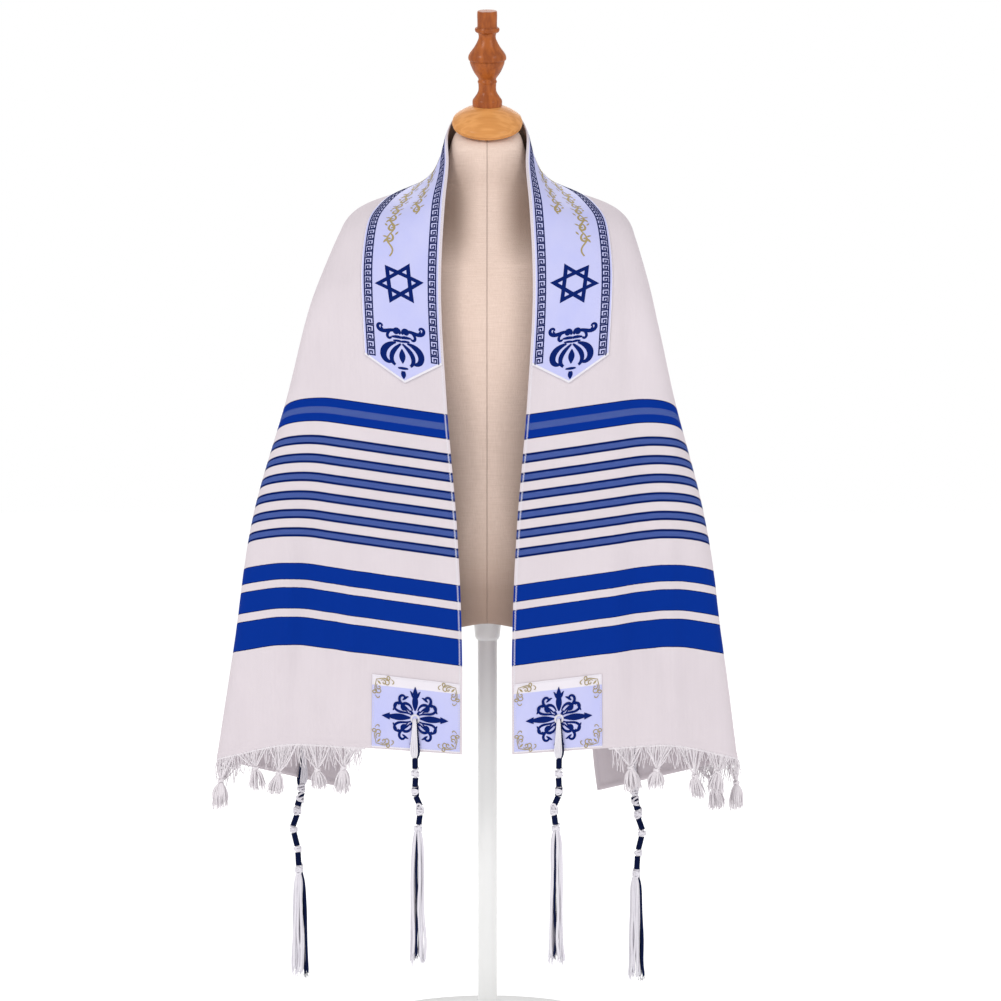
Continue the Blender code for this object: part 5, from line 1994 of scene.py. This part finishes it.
@dataclass
class HemFringe:
    """The knotted fringe of one hem."""

    palette: Palette
    side: int
    fan_threads: int = 15
    tail_threads: int = 58
    tail_spread: float = 0.0082
    loose_threads: int = 190
    loose_reach: tuple[float, float] = (0.008, 0.032)

    def build(self) -> bpy.types.Object:
        """Build the bunches, each a fan of threads, a knot and a tail, and the loose threads.

        Returns:
            The fringe.
        """
        pile = MeshPile()
        rng = np.random.default_rng(40 + self.side)
        for bunch in BUNCHES:
            self.bunch(pile, bunch, rng)
        self.loose(pile, rng)
        across = np.linspace(0.122, 0.368, 90)
        hem = FORM.locate(np.full(90, self.side * (HALF_LENGTH + 0.0012)), across)
        add_tube(pile, hem, 0.0010, 8, 2, 0.008)
        name = "left" if self.side < 0 else "right"
        mesh = pile.mesh(f"hem_fringe_{name}")
        turn_outward(mesh)
        return place_piece(mesh.name, mesh, self.palette.fringe_yarn, [f"fringe_{name}"])

    def loose(self, pile: MeshPile, rng: np.random.Generator) -> None:
        """Add the loose threads that hang between the bunches.

        Args:
            pile: Where they go.
            rng: Seeded source of small differences.
        """
        for place in rng.uniform(0.126, 0.364, self.loose_threads):
            root = FORM.locate(np.array(self.side * (HALF_LENGTH - 0.0004)), np.array(place))
            way = rng.uniform(-1.0, 1.0, (2, 3)) * (0.004, 0.002, 0.002)
            reach = rng.uniform(*self.loose_reach)
            course = (root, root - UP * reach * 0.5 + way[0], root - UP * reach + way[0] + way[1])
            add_tube(pile, smooth_path(np.array(course), 0.0024), 0.00048, 4)

    def bunch(self, pile: MeshPile, bunch: Bunch, rng: np.random.Generator) -> None:
        """Add one bunch.

        Args:
            pile: Where it goes.
            bunch: Its sizes.
            rng: Seeded source of small differences.
        """
        hem, _, toward, beside = FORM.frame(self.side * HALF_LENGTH, bunch.across)
        fall = toward * 0.4 - UP * 0.6
        fall /= np.linalg.norm(fall)
        knot = hem + fall * bunch.drop + beside * bunch.lean
        for share in np.linspace(-0.5, 0.5, self.fan_threads):
            place = bunch.across + bunch.fan * 1.15 * (share + rng.uniform(-0.03, 0.03))
            root = FORM.locate(np.array(self.side * (HALF_LENGTH - 0.0004)), np.array(place))
            middle = (root + knot) / 2 + fall * 0.002 * (1 - abs(share)) + rng.uniform(-0.0021, 0.0021, 3)
            add_tube(pile, smooth_path(np.array([root, middle, knot]), 0.0022), 0.00080, 6, 2, 0.006)
        angle = np.linspace(0.0, 2 * pi, 22)
        for lean in (-0.55, 0.15, 0.6):
            ring = np.cos(angle)[:, None] * beside + np.sin(angle)[:, None] * np.cross(beside, fall)
            ring = ring * 0.0032 + fall * (np.cos(angle)[:, None] * 0.0032 * lean + lean * 0.0016)
            add_tube(pile, knot + ring, 0.0012, 7, 2, 0.005)
        for _ in range(self.tail_threads):
            angle_out = rng.uniform(0, 2 * pi)
            spread = self.tail_spread * np.sqrt(rng.uniform(0, 1))
            way = beside * cos(angle_out) * spread + np.cross(beside, UP) * sin(angle_out) * spread * 0.8
            reach = bunch.tail * rng.uniform(0.68, 1.0)
            stray = rng.uniform(-0.001, 0.001, 3)
            course = (
                knot,
                knot - UP * reach * 0.3 + way * 0.85 + beside * bunch.lean * 0.2,
                knot - UP * reach * 0.7 + way * 1.25 + beside * bunch.lean * 0.45 + stray,
                knot - UP * reach + way * (0.9 + rng.uniform(0.0, 0.8)) + beside * bunch.lean * 0.6,
            )
            path = smooth_path(np.array(course), 0.0022)
            thick = np.interp(np.linspace(0, 1, len(path)), (0, 0.5, 1), (0.0009, 0.0010, 0.0004))
            add_tube(pile, path, thick, 5)


def turned(profile: Sequence[tuple[float, float]], sides: int, step: float) -> tuple[Array, Faces]:
    """Turn a profile round the z axis.

    Args:
        profile: Radius and height of each corner, from the top axis to the lower axis.
        sides: Number of sides.
        step: Longest distance between rings.

    Returns:
        Points and faces.
    """
    course = [np.array(profile[0])]
    for here, after in zip(profile, profile[1:]):
        course.extend(resample(np.array([here, after], float), step)[1:])
    rings = np.array(course)[1:-1]
    angle = np.linspace(0.0, 2 * pi, sides, endpoint=False)
    circle = np.stack([np.cos(angle), np.sin(angle)], 1)
    points = np.concatenate([rings[:, None, :1] * circle, np.repeat(rings[:, None, 1:], sides, axis=1)], 2)
    points = np.concatenate([points.reshape(-1, 3), [(0, 0, profile[0][1]), (0, 0, profile[-1][1])]])
    faces = grid_faces(len(rings), sides, closed=True)
    top, foot, last = len(points) - 2, len(points) - 1, (len(rings) - 1) * sides
    for number in range(sides):
        after = (number + 1) % sides
        faces.append((top, number, after))
        faces.append((foot, last + after, last + number))
    return points, faces


def lean_forward(points: Array, tilt: float, place: Sequence[float]) -> Array:
    """Lean points forwards round the x axis and move them."""
    turn = np.array(Euler((radians(tilt), 0.0, 0.0)).to_matrix())
    return points @ turn.T + np.array(place)


@dataclass
class DressForm:
    """The linen form with its wooden neck cap and finial."""

    palette: Palette

    def build(self) -> list[bpy.types.Object]:
        """Build form, cap and finial."""
        return [self.body(), *self.cap_and_finial()]

    def ring(self, row: Ring) -> Array:
        """Return the points of one ring.

        Args:
            row: The ring.

        Returns:
            Its points.
        """
        angle = np.linspace(0.0, 2 * pi, FORM_SIDES, endpoint=False)
        wide, deep = np.cos(angle), np.sin(angle)
        x = row.half_width * np.abs(wide) ** (2 / row.power) * np.sign(wide)
        reach = np.where(deep >= 0, row.back, row.front)
        y = row.centre_y + reach * np.abs(deep) ** (2 / row.power) * np.sign(deep)
        lift = row.arch * np.exp(-((x / ARCH_HALF_WIDTH) ** 2)) + (y - row.centre_y) * tan(radians(row.tilt))
        return np.stack([x, y, row.z + lift], 1)

    def body(self) -> bpy.types.Object:
        """Build the linen body, rounded inside the solid's own rings."""
        rings = [self.ring(row) for row in FORM_RINGS]
        faces = grid_faces(len(rings), FORM_SIDES, closed=True)
        faces.append(tuple(range(FORM_SIDES)))
        faces.append(tuple(range((len(rings) - 1) * FORM_SIDES, len(rings) * FORM_SIDES)))
        mesh = make_mesh("linen_body", np.concatenate(rings), faces)
        turn_outward(mesh)
        guide = bpy.data.objects.new("linen_body_cage", mesh)
        bpy.context.scene.collection.objects.link(guide)
        rounding = guide.modifiers.new("rounding", "SUBSURF")
        rounding.levels = 2
        rounding.render_levels = 2
        smooth = bpy.data.meshes.new_from_object(guide.evaluated_get(bpy.context.evaluated_depsgraph_get()))
        bpy.data.objects.remove(guide)
        smooth.name = "linen_body"
        return place_piece("linen_body", smooth, self.palette.linen, ["form_body"], 60)

    def cap_and_finial(self) -> list[bpy.types.Object]:
        """Build the domed cap with its seat, and the finial that stands on it."""
        dome_radius = (CAP_RADIUS**2 + CAP_DOME**2) / (2 * CAP_DOME)
        drop = CAP_DOME - dome_radius
        profile = []
        for radius in np.linspace(0.0, CAP_RADIUS * 0.975, 26):
            profile.append((float(radius), drop + (dome_radius**2 - radius**2) ** 0.5))
        rim = 0.0022
        for turn in np.radians(np.linspace(50, -80, 7)):
            profile.append((CAP_RADIUS - rim + rim * cos(turn), -0.0030 + 0.0024 * sin(turn)))
        profile += [(CAP_RADIUS - 0.0012, -CAP_THICK), (0.0, -CAP_THICK)]
        points, faces = turned(profile, 96, 0.004)
        mesh = make_mesh("wood_cap", lean_forward(points, CAP_TILT, CAP_CENTRE), faces)
        turn_outward(mesh)
        cap = place_piece("wood_cap", mesh, self.palette.cap, ["neck_cap"], 50)
        cap_axis = np.array((0.0, -sin(radians(CAP_TILT)), cos(radians(CAP_TILT))))
        axis = np.array((0.0, -sin(radians(FINIAL_TILT)), cos(radians(FINIAL_TILT))))
        seat = np.array(CAP_CENTRE) + cap_axis * drop + axis * (dome_radius - SEAT_DEPTH)
        outline = [(radius, FINIAL_HEIGHT - depth) for depth, radius in FINIAL_PROFILE]
        rounded = smooth_path(np.array(outline), 0.0009)
        rounded[:, 0] = np.minimum(rounded[:, 0], FINIAL_RADIUS)
        profile = [(0.0, FINIAL_HEIGHT), *[tuple(point) for point in rounded], (0.0, 0.0)]
        points, faces = turned(profile, 72, 0.004)
        mesh = make_mesh("wood_finial", lean_forward(points, FINIAL_TILT, seat + axis * REST_GAP), faces)
        turn_outward(mesh)
        finial = place_piece("wood_finial", mesh, self.palette.finial, ["neck_finial"], 35)
        return [cap, finial]


@dataclass
class Stand:
    """The white pole and round base under the form."""

    palette: Palette

    def build(self) -> list[bpy.types.Object]:
        """Build base and pole.

        Returns:
            The pieces.
        """
        pole_top = FORM_RINGS[0].z - REST_GAP
        profiles = {
            "base_plate": ("stand_base", (
                (0.0, HUB_TOP), (HUB_RADIUS - 0.004, HUB_TOP), (HUB_RADIUS - 0.0012, HUB_TOP - 0.0012),
                (HUB_RADIUS, HUB_TOP - 0.004), (HUB_RADIUS + 0.002, BASE_HEIGHT + 0.006),
                (HUB_RADIUS + 0.004, BASE_HEIGHT + 0.0025), (HUB_RADIUS + 0.008, BASE_HEIGHT + 0.001),
                (BASE_RADIUS - BASE_EDGE, BASE_HEIGHT), (BASE_RADIUS - 0.0065, BASE_HEIGHT - 0.0022),
                (BASE_RADIUS - 0.003, BASE_HEIGHT - 0.006), (BASE_RADIUS, BASE_HEIGHT - BASE_EDGE),
                (BASE_RADIUS - 0.002, 0.0), (0.0, 0.0),
            )),
            "pole": ("stand_pole", (
                (0.0, pole_top), (FLANGE_RADIUS - 0.001, pole_top), (FLANGE_RADIUS, pole_top - 0.001),
                (FLANGE_RADIUS, pole_top - 0.004), (FLANGE_RADIUS / 2, pole_top - 0.008),
                (POLE_RADIUS + 0.0035, pole_top - 0.030), (POLE_RADIUS + 0.0015, pole_top - 0.0335),
                (POLE_RADIUS, pole_top - 0.034), (POLE_RADIUS, HUB_TOP + REST_GAP), (0.0, HUB_TOP + REST_GAP),
            )),
        }
        pieces = []
        for name, (node, profile) in profiles.items():
            points, faces = turned(profile, 96, 0.05)
            mesh = make_mesh(name, points, faces)
            turn_outward(mesh)
            pieces.append(place_piece(name, mesh, self.palette.paint, [node], 40))
        return pieces


@dataclass(frozen=True)
class SoftBox:
    """One large soft studio light."""

    name: str
    place: tuple[float, float, float]
    target: tuple[float, float, float]
    size: float
    power: float

    def build(self) -> None:
        """Add the light."""
        lamp = bpy.data.lights.new(self.name, "AREA")
        lamp.shape = "SQUARE"
        lamp.size = self.size
        lamp.energy = self.power
        light = bpy.data.objects.new(self.name, lamp)
        light.location = self.place
        light.rotation_euler = (Vector(self.target) - Vector(self.place)).to_track_quat("-Z", "Y").to_euler()
        bpy.context.scene.collection.objects.link(light)


@dataclass
class Studio:
    """Pale floor, white surroundings, soft light and the camera."""

    lights: tuple[SoftBox, ...] = (
        SoftBox("key", (-2.3, -2.4, 2.9), (0.0, 0.0, 0.8), 1.1, 42.0),
        SoftBox("fill", (2.4, -2.4, 2.7), (0.0, 0.0, 0.8), 1.4, 26.0),
        SoftBox("back", (0.0, 2.6, 2.6), (0.0, 0.0, 0.9), 2.0, 20.0),
    )
    surround: float = 0.74
    glow: float = 0.36

    def build(self) -> None:
        """Build the studio."""
        self.floor()
        world = bpy.data.worlds.new("surroundings")
        world.use_nodes = True
        tree = world.node_tree
        # The camera sees full white behind the shawl. The pieces are lit by a dimmer white.
        light, seen = tree.nodes["Background"], tree.nodes.new("ShaderNodeBackground")
        for background, strength in ((light, self.surround), (seen, 1.0)):
            background.inputs[0].default_value = (1.0, 1.0, 1.0, 1.0)
            background.inputs[1].default_value = strength
        ray, choice = tree.nodes.new("ShaderNodeLightPath"), tree.nodes.new("ShaderNodeMixShader")
        tree.links.new(ray.outputs["Is Camera Ray"], choice.inputs[0])
        tree.links.new(light.outputs[0], choice.inputs[1])
        tree.links.new(seen.outputs[0], choice.inputs[2])
        tree.links.new(choice.outputs[0], tree.nodes["World Output"].inputs[0])
        bpy.context.scene.world = world
        bpy.context.scene.view_settings.view_transform = "Standard"
        for light in self.lights:
            light.build()
        self.camera()

    def floor(self) -> None:
        """Add the floor."""
        white = (1.0, 1.0, 1.0, 1.0)
        graph = Graph("pale_floor", Roughness=0.7, Emission_Color=white, Emission_Strength=self.glow)
        cloud = graph.noise(graph.object_place(), (1.2, 1.2, 1.2), 2.0)
        graph.colour(graph.mix(cloud, (0.94, 0.94, 0.94), (0.90, 0.90, 0.90)))
        size = 12.0
        corners = [(x * size, y * size, -0.0005) for x, y in ((-1, -1), (1, -1), (1, 1), (-1, 1))]
        mesh = make_mesh("floor", np.array(corners), [(0, 1, 2, 3)])
        mesh.materials.append(graph.material)
        floor = bpy.data.objects.new("floor", mesh)
        bpy.context.scene.collection.objects.link(floor)

    def camera(self) -> None:
        """Add the camera at the photograph's viewing angle."""
        lens = bpy.data.cameras.new("camera")
        lens.lens = CAMERA_LENS
        lens.sensor_width = 36.0
        camera = bpy.data.objects.new("camera", lens)
        camera.location = CAMERA_PLACE
        aim = Vector(CAMERA_TARGET) - Vector(CAMERA_PLACE)
        camera.rotation_euler = aim.to_track_quat("-Z", "Y").to_euler()
        bpy.context.scene.collection.objects.link(camera)
        bpy.context.scene.camera = camera


def main() -> None:
    """Dress the frame: every piece, then the studio."""
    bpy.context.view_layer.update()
    palette = Palette.make()
    repeater = Repeater()
    trim = Neckband(palette, repeater).build()
    for corner in Corner:
        trim += CornerPatch(palette, repeater, corner).build()
        trim.append(CornerTassel(palette, corner).build())
    for side in (-1, 1):
        trim.append(HemFringe(palette, side).build())
    trim += EdgeStitching(palette, repeater).build()
    shawl = Shawl(palette).build()
    form = DressForm(palette).build()
    Stand(palette).build()
    Studio().build()


if __name__ == "__main__":
    main()
